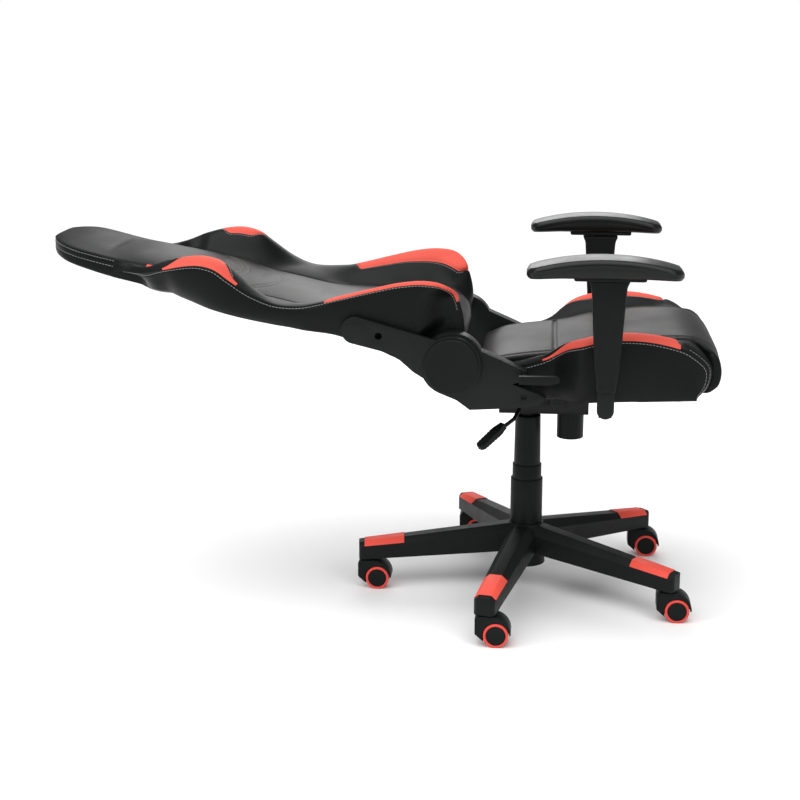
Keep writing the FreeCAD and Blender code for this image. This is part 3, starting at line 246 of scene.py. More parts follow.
def ease(low, high, value):
    """0 below low, 1 above high and a smooth step between."""
    t = np.clip((np.asarray(value, float) - low) / (high - low), 0, 1)
    return t * t * (3 - 2 * t)


def swell_between(start, end, rise, fall, value):
    """0 outside start and end, 1 between, with eased ends of those lengths."""
    return ease(start, start + rise, value) * (1 - ease(end - fall, end, value))


def block(name, across, along, deep):
    """A box cut in even slices, whose corners run from 0 to 1 along each axis."""
    bpy.ops.mesh.primitive_grid_add(x_subdivisions=across, y_subdivisions=along, size=1)
    piece = bpy.context.object
    piece.name = piece.data.name = name
    bpy.ops.object.mode_set(mode="EDIT")
    for _ in range(deep):
        bpy.ops.mesh.extrude_region_move(TRANSFORM_OT_translate={"value": (0, 0, 1 / deep)})
    bpy.ops.object.mode_set(mode="OBJECT")
    piece.data.transform(Matrix.Translation((0.5, 0.5, 0)))
    return piece


def points_of(piece):
    flat = np.empty(len(piece.data.vertices) * 3)
    piece.data.vertices.foreach_get("co", flat)
    return flat.reshape(-1, 3)


def set_points(piece, points):
    piece.data.vertices.foreach_set("co", np.asarray(points, float).ravel())
    piece.data.update()


def only(piece):
    """Makes the piece the one that operators act on."""
    bpy.ops.object.select_all(action="DESELECT")
    piece.select_set(True)
    bpy.context.view_layer.objects.active = piece


def face_outwards(piece):
    only(piece)
    bpy.ops.object.mode_set(mode="EDIT")
    bpy.ops.mesh.select_all(action="SELECT")
    bpy.ops.mesh.normals_make_consistent(inside=False)
    bpy.ops.object.mode_set(mode="OBJECT")


def with_modifier(piece, kind, **settings):
    """Adds a modifier of that kind with those settings, and applies it."""
    only(piece)
    modifier = piece.modifiers.new(kind.title(), kind)
    for label, value in settings.items():
        setattr(modifier, label, value)
    bpy.ops.object.modifier_apply(modifier=modifier.name)
    return piece


def subdivide_smooth(piece, levels=1):
    return with_modifier(piece, "SUBSURF", levels=levels, render_levels=levels)


def ease_edges(piece, width, segments, degrees, **settings):
    """Bevels the edges sharper than that angle."""
    return with_modifier(piece, "BEVEL", width=width, segments=segments, limit_method="ANGLE",
                         angle_limit=math.radians(degrees), **settings)


def shade(piece, degrees=40):
    only(piece)
    bpy.ops.object.shade_smooth_by_angle(angle=math.radians(degrees))


def finish_piece(piece, body, slot, *nodes):
    """Seats a finished piece: its body, its material slot and the CAD nodes it stands for."""
    if not piece.data.materials:
        piece.data.materials.append(FINISH[slot])
    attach(piece, body)
    if nodes:
        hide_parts(*nodes)
    return piece


# ---------------------------------------------------------------- padded covers
# How far a cover may blow out, and how far from a seam or an edge its thread and its groove run.
COVER_FILL, CUSHION_FILL = 7 * MM, 10 * MM
SEAM_THREAD, EDGE_THREAD, EDGE_GROOVE = 5 * MM, 7 * MM, 3 * MM
# Depth and width of the groove that stitching presses into a seam and along an edge.
SEAM_PRESS = (2.4 * MM, 2.2 * MM)
EDGE_PRESS = (1.6 * MM, 2.0 * MM)


def fill_covers(covers, pressure=4.0, frames=20):
    """Blows each sewn cover out against its held seams, and caps how far any point may move."""
    for cover, held, _cap in covers:
        group = cover.vertex_groups.new(name="seams")
        group.add([int(index) for index in np.flatnonzero(held)], 1.0, "REPLACE")
        cloth = cover.modifiers.new("Cloth", "CLOTH")
        settings = cloth.settings
        settings.quality = 6
        settings.mass = 0.4
        settings.tension_stiffness = settings.compression_stiffness = 40
        settings.shear_stiffness = 20
        settings.bending_stiffness = 2.0
        settings.use_pressure = True
        settings.uniform_pressure_force = pressure
        settings.effector_weights.gravity = 0
        settings.vertex_group_mass = "seams"
        cloth.collision_settings.use_collision = False
        cloth.point_cache.frame_start = 1
        cloth.point_cache.frame_end = frames
    scene = bpy.context.scene
    for number in range(1, frames + 1):
        scene.frame_set(number)
    ready = bpy.context.evaluated_depsgraph_get()
    for cover, _held, cap in covers:
        rest = points_of(cover)
        blown = cover.evaluated_get(ready)
        moved = np.empty(len(rest) * 3)
        blown.data.vertices.foreach_get("co", moved)
        step = moved.reshape(-1, 3) - rest
        length = np.linalg.norm(step, axis=1)[:, None] + 1e-9
        cover.modifiers.clear()
        set_points(cover, rest + step / length * cap * np.tanh(length / cap))
    scene.frame_set(1)


def surface_of(piece):
    points = [vertex.co for vertex in piece.data.vertices]
    return BVHTree.FromPolygons(points, [face.vertices for face in piece.data.polygons])


def snapped(tree, path):
    """The path's points moved onto the surface, and the surface's normals there."""
    spots, normals = [], []
    for point in path:
        spot, normal, _face, _far = tree.find_nearest(Vector(point))
        spots.append(spot)
        normals.append(normal)
    return spots, normals


def evenly(path, pitch):
    """Points along a path, a pitch apart."""
    path = np.asarray(path, float)
    at = np.concatenate(([0.0], np.cumsum(np.linalg.norm(np.diff(path, axis=0), axis=1))))
    count = max(2, int(at[-1] / pitch))
    marks = (np.arange(count) + 0.5) * at[-1] / count
    return np.stack([np.interp(marks, at, path[:, axis]) for axis in range(3)], axis=1)


def press_seam(piece, path, depth, width):
    """Sinks the cover along a path, as a line of stitching pulls it down."""
    tree = surface_of(piece)
    line = np.array([list(spot) for spot in snapped(tree, evenly(path, width / 3))[0]])
    points = points_of(piece)
    normals = np.array([list(v.normal) for v in piece.data.vertices])
    low, high = line.min(0) - 3 * width, line.max(0) + 3 * width
    near = np.flatnonzero(np.all((points > low) & (points < high), axis=1))
    for start in range(0, len(near), 2000):
        part = near[start:start + 2000]
        gap = np.linalg.norm(points[part][:, None, :] - line[None, :, :], axis=2).min(1)
        points[part] -= normals[part] * (depth * np.exp(-(gap / width) ** 2))[:, None]
    set_points(piece, points)


def one_stitch():
    """A short raised stitch along X: a box with its ends drawn in."""
    bpy.ops.mesh.primitive_cube_add(size=1)
    stitch = bpy.context.object
    bpy.ops.object.mode_set(mode="EDIT")
    bpy.ops.mesh.select_all(action="SELECT")
    bpy.ops.transform.resize(value=(0.6, 1, 1))
    bpy.ops.mesh.bevel(offset=0.22, segments=1, affect="EDGES")
    bpy.ops.object.mode_set(mode="OBJECT")
    stitch.data.transform(Matrix.Diagonal((1 / 0.6, 1, 1, 1)))
    return stitch


def stitch_rows(name, cover, rows, body, pitch=6.5 * MM, length=4.6 * MM, width=1.2 * MM):
    """Sews rows of thread over a cover: each row is a path near its surface."""
    pattern = one_stitch()
    shape = points_of(pattern) * (length, width, width * 0.7)
    faces = [tuple(p.vertices) for p in pattern.data.polygons]
    tree = surface_of(cover)
    points, polygons = [], []
    for row in rows:
        spots, normals = snapped(tree, evenly(row, pitch))
        for index, (spot, normal) in enumerate(zip(spots, normals)):
            ahead = spots[min(index + 1, len(spots) - 1)] - spots[max(index - 1, 0)]
            ahead = (ahead - normal * ahead.dot(normal)).normalized()
            turn = np.array([ahead, normal.cross(ahead), normal])
            first = len(points) * len(shape)
            points.append(shape @ turn + np.array(spot + normal * width * 0.12))
            polygons += [tuple(corner + first for corner in face) for face in faces]
    mesh = bpy.data.meshes.new(name)
    mesh.from_pydata(np.concatenate(points), [], polygons)
    thread = bpy.data.objects.new(name, mesh)
    bpy.context.scene.collection.objects.link(thread)
    bpy.data.objects.remove(pattern)
    shade(thread, 60)
    return finish_piece(thread, body, "thread")


# ---------------------------------------------------------------- the back's covers
# Outlines of the back: distance behind the recline axis and height above it, in millimetres.
REAR_LINE = smooth_line(((60, -12), (120, 12), (213, 46), (295, 66), (402, 86), (496, 107), (590, 122),
                         (648, 136), (707, 150), (765, 168), (805, 181), (828, 191), (838, 201)))
CENTRE_LINE = smooth_line(((-20, 33), (-15, 60), (5, 82), (151, 91), (281, 96), (355, 112), (437, 132),
                           (465, 142), (551, 160), (609, 171), (672, 184), (757, 205), (800, 216),
                           (836, 222)))
WING_LINE = smooth_line(((-20, 31), (-23, 72), (-17, 108), (-4, 140), (20, 157), (55, 163), (95, 160),
                         (160, 146), (215, 132), (260, 122), (310, 118), (345, 122), (385, 142),
                         (425, 174), (455, 196), (486, 205), (530, 203), (575, 192), (612, 178),
                         (650, 173), (690, 176)))
WING_TOP = 690
SLOT_START, SLOT_END = 563, 636
CENTRE_HALF = 140.5
# How far out a wing comes beside the seat brackets, and what it gains past them and at the shoulder.
BRACKET_REACH, ARM_GAIN, SHOULDER_GAIN = 186, 36, 28
NECK_DRAWN_FROM = 247
RED_FIRST = (88, length_to(WING_LINE, 0, 250))
RED_LAST = (length_to(WING_LINE, 0, 412), length_to(WING_LINE, 0, 572))


def in_back(across, behind_and_above):
    """Points in the chair's frame from millimetres across, behind the recline axis and above it."""
    behind, above = np.asarray(behind_and_above).T
    return np.stack([across * MM, HINGE.y + behind * MM, HINGE.z + above * MM], axis=1)


def normal_of(line, share):
    """The direction out of the cover's front at a share of its line."""
    ahead = line(np.clip(share + 0.004, 0, 1)) - line(np.clip(share - 0.004, 0, 1))
    ahead /= np.linalg.norm(ahead, axis=-1)[..., None]
    return np.stack([-ahead[..., 1], ahead[..., 0]], axis=-1)


def wing_reach(behind, above):
    """How far out a wing may come: past the seat brackets, then inside the hinge arms, then the shoulder."""
    from_axis = np.hypot(behind, above)
    clear = np.maximum(ease(128, 158, from_axis), ease(70, 88, from_axis) * ease(15, 60, behind))
    reach = BRACKET_REACH + ARM_GAIN * clear + SHOULDER_GAIN * ease(226, 300, behind)
    return reach - (NECK_DRAWN_FROM - CENTRE_HALF) * ease(535, WING_TOP, behind)


def split_at(shares, cut):
    """Moves the middle column of an even row of slices to the cut, and spreads the rest."""
    return np.where(shares < 0.5, shares / 0.5 * cut, cut + (shares - 0.5) / 0.5 * (1 - cut))


def panel(piece, shares, number, inside):
    """Gives finish number to the faces whose middle, in the block's own shares, is inside."""
    for face in piece.data.polygons:
        middle = shares[list(face.vertices)].mean(0)
        if inside(*middle):
            face.material_index = number


def row_of(piece, shares, **fixed):
    """The points of one line of a block, in order along it."""
    chosen = np.ones(len(shares), bool)
    for axis, value in fixed.items():
        chosen &= np.abs(shares[:, "uvw".index(axis)] - value) < 1e-4
    free = next(number for number, axis in enumerate("uvw") if axis not in fixed)
    order = np.argsort(shares[chosen][:, free])
    return points_of(piece)[chosen][order]


def beside(edge, inner, distance):
    """A path beside an edge, towards the next row of points."""
    gap = inner - edge
    return edge + gap / np.linalg.norm(gap, axis=1)[:, None] * distance


def make_wing(word, sign):
    """One side of the back's cover, from the lumbar bolster over the shoulder to the neck."""
    across, along, deep = 14, 112, 7
    cover = block(f"back_wing_cover_{word}", across, along, deep)
    shares = points_of(cover)
    for slot in ("leatherette", "coral_leatherette"):
        cover.data.materials.append(FINISH[slot])
    u, v, w = shares.T
    length = v * WING_LINE.length
    lumbar = swell_between(*RED_FIRST, 16, 34, length)
    shoulder = swell_between(*RED_LAST, 70, 60, length)
    u = split_at(u, 0.975 - (0.46 - 0.06 * ease(120, 260, length)) * lumbar - 0.56 * shoulder)
    high = ease(470, 590, length)
    crest = 0.88 - 0.30 * high
    inner = CENTRE_LINE(v * share_where(CENTRE_LINE, 0, WING_TOP)) - (0, 4)
    outer = WING_LINE(v)
    rise = ease(0, crest, u)[:, None]
    front = inner + (outer - inner) * rise
    past = np.clip((u - crest) / (1 - crest), 0, 1) ** 2
    front -= normal_of(WING_LINE, v) * (past * (4 + 9 * high))[:, None]
    rear = REAR_LINE(v * share_where(REAR_LINE, 0, WING_TOP + 8))
    rear[:, 1] += 14 * u * ease(470, 600, rear[:, 0])
    spot = rear + (front - rear) * w[:, None]
    behind = spot[:, 0]
    in_slot = np.sin(np.clip((behind - SLOT_START) / (SLOT_END - SLOT_START), 0, 1) * math.pi)
    start = CENTRE_HALF + in_slot * (20 + 14 * w)
    reach = wing_reach(behind, spot[:, 1])
    reach = reach + 3 * np.sin(math.pi * w) - 9 * np.clip(1 - w / 0.35, 0, 1) ** 2
    tucked = 44 * ease(430, 600, behind) * (1 - in_slot)
    reach = np.maximum(reach - tucked * (1 - w) ** 1.6, start + 3)
    set_points(cover, in_back(sign * (start + (reach - start) * u), spot))
    red = [(low / WING_LINE.length, top / WING_LINE.length) for low, top in (RED_FIRST, RED_LAST)]
    panel(cover, shares, 1, lambda a, b, c: c > 0.999 and a > 0.5 and any(low < b < top for low, top in red))
    face_outwards(cover)
    by_arm = (u > 0.99) & (np.hypot(behind, spot[:, 1]) < 246)
    seam = (w > 0.99) & (np.abs(shares[:, 0] - 0.5) < 1e-3) & (lumbar + shoulder > 0.02)
    edge = (w > 0.99) & (u > 0.99)
    held = (w < 0.01) | (shares[:, 0] < 0.01) | by_arm | seam | edge
    return {"piece": cover, "shares": shares, "held": held, "red": red, "across": across, "deep": deep}


def sew_wing(word, made):
    """The wing's seams and thread, and the rest of its finishing, after it is filled."""
    cover, shares = made["piece"], made["shares"]
    top = row_of(cover, shares, u=1, w=1)
    below = row_of(cover, shares, u=1, w=1 - 1 / made["deep"])
    seam = row_of(cover, shares, u=0.5, w=1)
    inside = row_of(cover, shares, u=0.5 - 1 / made["across"], w=1)
    count = len(top) - 1
    ends = [(int(low * count) + 1, int(high * count)) for low, high in made["red"]]
    outer_thread = beside(top, below, EDGE_THREAD)[int(0.09 * count):int(0.985 * count)]
    inner_threads = [beside(seam, inside, SEAM_THREAD)[low + 1:high - 3] for low, high in ends]
    subdivide_smooth(cover)
    for low, high in ends:
        press_seam(cover, seam[low:high], *SEAM_PRESS)
    press_seam(cover, beside(top, below, EDGE_GROOVE)[int(0.05 * count):], *EDGE_PRESS)
    shade(cover, 60)
    finish_piece(cover, "back", "leatherette", f"back_wing_{word}")
    stitch_rows(f"back_wing_thread_{word}", cover, [outer_thread, *inner_threads], "back")


def head_half(behind):
    """Half width of the centre cover, which is rounded off at the head."""
    return CENTRE_HALF * np.sqrt(1 - np.clip((behind - 752) / 92, 0, 0.98) ** 2.4)


def make_centre():
    """The back's centre panel and the head, one cover between the wings."""
    across, along, deep = 30, 150, 4
    cover = block("back_centre_cover", across, along, deep)
    shares = points_of(cover)
    for slot in ("leatherette", "grey_leatherette", "coral_leatherette"):
        cover.data.materials.append(FINISH[slot])
    u, v, w = shares.T
    aside = 2 * u - 1
    front = CENTRE_LINE(v)
    crown = 7 + 6 * swell_between(480, 720, 80, 80, front[:, 0]) - 4 * ease(600, 760, front[:, 0])
    front = front + normal_of(CENTRE_LINE, v) * (crown * (1 - aside ** 4) - 3)[:, None]
    rear = REAR_LINE(v)
    spot = rear + (front - rear) * w[:, None]
    set_points(cover, in_back(aside * head_half(spot[:, 0]), spot))
    neck = share_where(CENTRE_LINE, 0, 500)
    head = share_where(CENTRE_LINE, 0, 668)
    # The lower centre panel's front takes the lighter leatherette, a painted sheen; the head stays black.
    panel(cover, shares, 1, lambda a, b, c: c > 0.999 and b < neck)
    slot = [share_where(CENTRE_LINE, 0, edge) for edge in (SLOT_START + 6, SLOT_END - 10)]
    panel(cover, shares, 2, lambda a, b, c: min(a, 1 - a) < 1 / across and slot[0] < b < slot[1] and c > 0.3)
    face_outwards(cover)
    beside_wing = (np.minimum(u, 1 - u) < 0.01) & (v < head)
    rim = (np.minimum(u, 1 - u) < 0.01) & (w > 0.99)
    held = (w < 0.01) | beside_wing | rim | ((v > 0.99) & (w > 0.99))
    return {"piece": cover, "shares": shares, "held": held, "deep": deep, "head": head}


def bowed(edge, bow, across=24):
    """A line across the centre panel that bows towards the seat."""
    aside = np.linspace(-1, 1, across)
    behind = edge - bow * (1 - aside ** 2)
    shares = np.array([share_where(CENTRE_LINE, 0, value) for value in behind])
    return in_back(aside * (CENTRE_HALF - 8), CENTRE_LINE(shares))


def sew_centre(made):
    cover, shares = made["piece"], made["shares"]
    sides = []
    step = 1 / made["deep"]
    for u in (0, 1):
        top = row_of(cover, shares, u=u, w=1)
        below = row_of(cover, shares, u=u, w=1 - step)
        start = int(made["head"] * (len(top) - 1)) - 2
        sides.append((beside(top, below, 5 * MM)[start:], beside(top, below, 17 * MM)[start:]))
    tip_edge, tip_below = row_of(cover, shares, v=1, w=1), row_of(cover, shares, v=1, w=1 - step)
    tip_top, tip_low = beside(tip_edge, tip_below, 4 * MM), beside(tip_edge, tip_below, 12 * MM)
    around = [np.concatenate([left[:-1], tip[1:-1], right[::-1][1:]])
              for left, tip, right in zip(sides[0], (tip_top, tip_low), sides[1])]
    arcs = [bowed(edge, 62) for edge in (520, 508, 440, 428)]
    subdivide_smooth(cover)
    for path in (*around, *arcs):
        press_seam(cover, path, 1.5 * MM, 2.2 * MM)
    shade(cover, 60)
    finish_piece(cover, "back", "grey_leatherette", "back_pad")
    stitch_rows("back_centre_thread", cover, [*around, *arcs], "back")


# ---------------------------------------------------------------- the seat's covers
# Outlines of the seat from the front of its underside to its rear: Y and Z in millimetres.
SEAT_LINE = smooth_line(((-356, 487), (-373, 504), (-378, 534), (-369, 562), (-338, 584), (-260, 590),
                         (-145, 579), (-52, 558), (15, 550), (62, 541), (97, 526)))
BOLSTER_LINE = smooth_line(((-330, 484), (-349, 504), (-355, 545), (-320, 583), (-262, 603), (-185, 610),
                            (-128, 603), (-80, 586), (-38, 556), (8, 541), (56, 531)))
BOLSTER_FLOOR = smooth_line(((-326, 481), (-230, 477), (-129, 472), (-50, 468), (-8, 482), (56, 484)))
SEAT_LOW = 483.5
CUSHION_HALF = 169
BOLSTER_OUTER = 252
SEAT_RED = (147, 437)
SEAT_GROOVE = -52


def in_seat(across, along_and_high):
    along, high = np.asarray(along_and_high).T
    return np.stack([across * MM, along * MM, high * MM], axis=1)


def make_cushion():
    """The centre cushion, whose front roll runs on in front of the bolsters."""
    across, along, deep = 44, 84, 8
    cover = block("seat_cushion_cover", across, along, deep)
    shares = points_of(cover)
    for slot in ("leatherette", "grey_leatherette"):
        cover.data.materials.append(FINISH[slot])
    u, v, w = shares.T
    aside = 2 * u - 1
    top = SEAT_LINE(v)
    top = top + normal_of(SEAT_LINE, v) * (5 * (1 - aside ** 4) - 3)[:, None]
    floor = np.stack([-340 + v * (97 + 340), np.full_like(v, SEAT_LOW)], axis=1)
    spot = floor + (top - floor) * w[:, None]
    border = 1 - 6 / across
    wide = CUSHION_HALF + 46 * (1 - ease(-352, -322, spot[:, 0])) - 10 * (1 - ease(484, 506, spot[:, 1]))
    narrow = CUSHION_HALF - 16
    reach = np.where(np.abs(aside) < border, np.abs(aside) / border * narrow,
                     narrow + (np.abs(aside) - border) / (1 - border) * (wide - narrow))
    set_points(cover, in_seat(np.sign(aside) * reach, spot))
    # The cushion's top between its seams takes the lighter leatherette, a painted sheen.
    panel(cover, shares, 1, lambda a, b, c: c > 0.999 and abs(2 * a - 1) < border)
    face_outwards(cover)
    edge = (np.minimum(u, 1 - u) < 0.01)
    seam = (w > 0.99) & (np.abs(np.abs(aside) - border) < 0.01)
    held = (w < 0.01) | (edge & (spot[:, 0] > -322)) | (edge & (w > 0.99)) | seam | (v > 0.99)
    return {"piece": cover, "shares": shares, "held": held, "border": border}


def sew_cushion(made):
    cover, shares = made["piece"], made["shares"]
    seams = [row_of(cover, shares, u=0.5 + side * made["border"] / 2, w=1) for side in (-1, 1)]
    subdivide_smooth(cover)
    high = SEAT_LINE(share_where(SEAT_LINE, 0, SEAT_GROOVE))[1]
    groove = np.array([(x * MM, SEAT_GROOVE * MM, high * MM) for x in range(-150, 151, 10)])
    press_seam(cover, groove, 5.5 * MM, 4.5 * MM)
    for seam in seams:
        press_seam(cover, seam, 2.4 * MM, 2.4 * MM)
    shade(cover, 60)
    finish_piece(cover, "seat", "grey_leatherette", "seat_cushion")


def make_seat_bolster(word, sign):
    across, along, deep = 14, 62, 8
    cover = block(f"seat_bolster_cover_{word}", across, along, deep)
    shares = points_of(cover)
    for slot in ("leatherette", "coral_leatherette"):
        cover.data.materials.append(FINISH[slot])
    u, v, w = shares.T
    length = v * BOLSTER_LINE.length
    red = swell_between(*SEAT_RED, 14, 120, length)
    u = split_at(u, 0.975 - 0.47 * red)
    outer = BOLSTER_LINE(v)
    marks = SEAT_LINE(np.linspace(0.2, 1, 200))
    beside_cushion = np.interp(outer[:, 0], marks[:, 0], marks[:, 1]) - 5
    inner = np.stack([outer[:, 0], np.minimum(outer[:, 1], beside_cushion)], axis=1)
    crest = 0.70
    top = inner + (outer - inner) * ease(0, crest, u)[:, None]
    past = np.clip((u - crest) / (1 - crest), 0, 1) ** 2
    top = top - normal_of(BOLSTER_LINE, v) * (past * 9)[:, None]
    spot = BOLSTER_FLOOR(v) + (top - BOLSTER_FLOOR(v)) * w[:, None]
    taper = 66 * ease(-112, -42, spot[:, 0]) + 12 * (1 - ease(-356, -318, spot[:, 0]))
    reach = BOLSTER_OUTER - taper + 3 * np.sin(math.pi * w) - 8 * np.clip(1 - w / 0.3, 0, 1) ** 2
    start = CUSHION_HALF - 2
    set_points(cover, in_seat(sign * (start + (reach - start) * u), spot))
    low, high = (mark / BOLSTER_LINE.length for mark in SEAT_RED)
    panel(cover, shares, 1, lambda a, b, c: c > 0.999 and a > 0.5 and low < b < high)
    face_outwards(cover)
    seam = (w > 0.99) & (np.abs(shares[:, 0] - 0.5) < 1e-3) & (red > 0.02)
    held = (w < 0.01) | (shares[:, 0] < 0.01) | seam | ((w > 0.99) & (u > 0.99)) | (v > 0.99)
    return {"piece": cover, "shares": shares, "held": held, "red": (low, high), "across": across,
            "deep": deep}


def sew_seat_bolster(word, made):
    cover, shares = made["piece"], made["shares"]
    top = row_of(cover, shares, u=1, w=1)
    below = row_of(cover, shares, u=1, w=1 - 1 / made["deep"])
    front = row_of(cover, shares, u=1 - 1 / made["across"], w=1)
    seam = row_of(cover, shares, u=0.5, w=1)
    inside = row_of(cover, shares, u=0.5 - 1 / made["across"], w=1)
    count = len(top) - 1
    low, high = (int(share * count) for share in made["red"])
    threads = [beside(top, below, EDGE_THREAD)[1:-1], beside(top, front, SEAM_THREAD)[1:low],
               beside(seam, inside, SEAM_THREAD)[low + 2:high - 4]]
    subdivide_smooth(cover)
    press_seam(cover, seam[low:high], *SEAM_PRESS)
    press_seam(cover, beside(top, below, EDGE_GROOVE), *EDGE_PRESS)
    shade(cover, 60)
    finish_piece(cover, "seat", "leatherette", f"seat_bolster_{word}")
    stitch_rows(f"seat_bolster_thread_{word}", cover, threads, "seat")


def make_upholstery():
    wings = {word: make_wing(word, sign) for word, sign in SIDES}
    bolsters = {word: make_seat_bolster(word, sign) for word, sign in SIDES}
    centre, cushion = make_centre(), make_cushion()
    covers = [(made["piece"], made["held"], COVER_FILL)
              for made in (*wings.values(), *bolsters.values(), centre)]
    fill_covers([*covers, (cushion["piece"], cushion["held"], CUSHION_FILL)])
    for word, made in wings.items():
        sew_wing(word, made)
    for word, made in bolsters.items():
        sew_seat_bolster(word, made)
    sew_centre(centre)
    sew_cushion(cushion)


make_upholstery()


# ---------------------------------------------------------------- armrests
def make_arm_pad(word):
    """A crowned foam pad with rounded edges, thinner towards its two ends."""
    low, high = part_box(f"arm_pad_{word}")
    centre, half = (low + high) / 2, (high - low) / 2
    pad = block(f"arm_pad_foam_{word}", 12, 44, 4)
    u, v, w = points_of(pad).T
    aside, along = 2 * u - 1, 2 * v - 1
    drop = 21 * MM * np.abs(along) ** 2.1
    top = high.z - drop - 2.5 * MM * aside ** 2
    bottom = low.z + 4 * MM - 4 * MM * np.clip(np.abs(along) * 1.6 - 0.9, 0, 1)
    narrow = np.sqrt(1 - np.clip((np.abs(along) - 0.84) / 0.16, 0, 0.94) ** 2.2)
    lip = 1 - 0.05 * np.cos(math.pi * np.clip(w, 0, 1)) * (w < 0.5)
    x = centre.x + aside * half.x * (0.30 + 0.70 * narrow) * lip
    set_points(pad, np.stack([x, centre.y + along * half.y, bottom + (top - bottom) * w], axis=1))
    face_outwards(pad)
    ease_edges(pad, 9.5 * MM, 5, 50, use_clamp_overlap=False)
    subdivide_smooth(pad)
    for side in (1, -1):
        seam = [(centre.x + side * (half.x - 1 * MM), centre.y + t * half.y * 0.93,
                 high.z - 15 * MM - 18 * MM * t * t) for t in side * np.linspace(-1, 1, 40)]
        press_seam(pad, seam, 0.9 * MM, 2.2 * MM)
    shade(pad, 60)
    finish_piece(pad, f"arm_{word}", "arm_foam", f"arm_pad_{word}")


def make_arm_post(word):
    """The moulded post: flared where it meets the pad's plate, drawn in and round at its foot."""
    low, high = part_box(f"arm_post_{word}")
    centre, half = (low + high) / 2, (high - low) / 2
    post = block(f"arm_post_shell_{word}", 8, 40, 4)
    u, v, w = points_of(post).T
    aside, along, up = 2 * w - 1, 2 * u - 1, v
    flare = 18 * MM + 4 * MM * ease(0, 0.28, up) + (half.y - 22 * MM) * (0.82 * np.clip(up, 0, 1) ** 1.15
                                                                      + 0.32 * ease(0.9, 1, up) ** 2)
    thick = half.x * (0.93 + 0.07 * ease(0.1, 0.6, up))
    points = np.stack([centre.x + aside * thick, centre.y + along * flare,
                       low.z + up * (high.z - low.z)], axis=1)
    set_points(post, points)
    face_outwards(post)
    ease_edges(post, 8 * MM, 5, 50)
    shade(post, 35)
    finish_piece(post, "seat", "nylon", f"arm_post_{word}")


# ---------------------------------------------------------------- hard parts on their CAD shapes
SHARP_CAD_EDGE = 38
KNOB_FLUTES = 18
KNOB_CUP_HEIGHT = 60 * MM


def refined(name, slot, width=0.8 * MM, segments=2, ending="finished"):
    """A CAD node's own shape with its loose triangles joined and its sharp edges eased."""
    source = frame["nodes"][name]
    piece = bpy.data.objects.new(f"{name}_{ending}", source.data.copy())
    bpy.context.scene.collection.objects.link(piece)
    piece.data.materials.clear()
    only(piece)
    bpy.ops.object.mode_set(mode="EDIT")
    bpy.ops.mesh.select_all(action="SELECT")
    bpy.ops.mesh.remove_doubles(threshold=0.02 * MM)
    bpy.ops.mesh.dissolve_limited(angle_limit=math.radians(0.6))
    bpy.ops.object.mode_set(mode="OBJECT")
    ease_edges(piece, width, segments, SHARP_CAD_EDGE, use_clamp_overlap=True, harden_normals=False)
    with_modifier(piece, "TRIANGULATE")
    shade(piece, SHARP_CAD_EDGE)
    return finish_piece(piece, BODY_OF[name], slot, name)


def make_paddle():
    """The height lever's ribbed paddle, flat and a little wider than the bar inside it."""
    low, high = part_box("height_lever_grip")
    start, end = Vector((high.x, low.y, high.z)), Vector((low.x, high.y, low.z))
    paddle = block("height_lever_paddle", 10, 60, 4)
    u, v, w = points_of(paddle).T
    aside, thick = 2 * u - 1, 2 * w - 1
    rib = 1 + 0.10 * np.sin(v * math.pi * 18) * swell_between(0.3, 0.95, 0.05, 0.05, v)
    wide = 12 * MM * (0.55 + 0.45 * ease(0, 0.3, v)) * np.sqrt(1 - np.clip((v - 0.86) / 0.15, 0, 0.93) ** 2)
    deep = 6.5 * MM * rib * (1 - 0.25 * v)
    run = (end - start).normalized()
    across = run.cross(Vector((0, 0, 1))).normalized()
    up = across.cross(run)
    spots = (np.array(start)[None] + np.outer(v * ((end - start).length + 8 * MM), run)
             + np.outer(aside * wide, across) + np.outer(thick * deep, up))
    set_points(paddle, spots)
    face_outwards(paddle)
    ease_edges(paddle, 2 * MM, 3, 60)
    shade(paddle, 45)
    finish_piece(paddle, BODY_OF["height_lever_grip"], "nylon", "height_lever_grip")


def make_knob():
    """A cup over the tension knob. Its flutes are cut inwards, so the plain knob inside covers them."""
    low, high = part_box("tension_knob")
    radius = (high.x - low.x) / 2
    middle = (low + high) / 2
    bpy.ops.mesh.primitive_cylinder_add(vertices=144, radius=radius, depth=1)
    knob = bpy.context.object
    knob.name = knob.data.name = "tension_knob_cup"
    points = points_of(knob)
    turn = np.arctan2(points[:, 1], points[:, 0])
    flute = 1 - 0.035 * (np.cos(turn * KNOB_FLUTES) > 0.2)
    base, top = low.z, low.z + KNOB_CUP_HEIGHT
    points[:, :2] = points[:, :2] * flute[:, None] + (middle.x, middle.y)
    points[:, 2] = np.where(points[:, 2] > 0, top, base)
    set_points(knob, points)
    ease_edges(knob, 1.6 * MM, 3, 60)
    shade(knob, 30)
    return finish_piece(knob, BODY_OF["tension_knob"], "nylon")


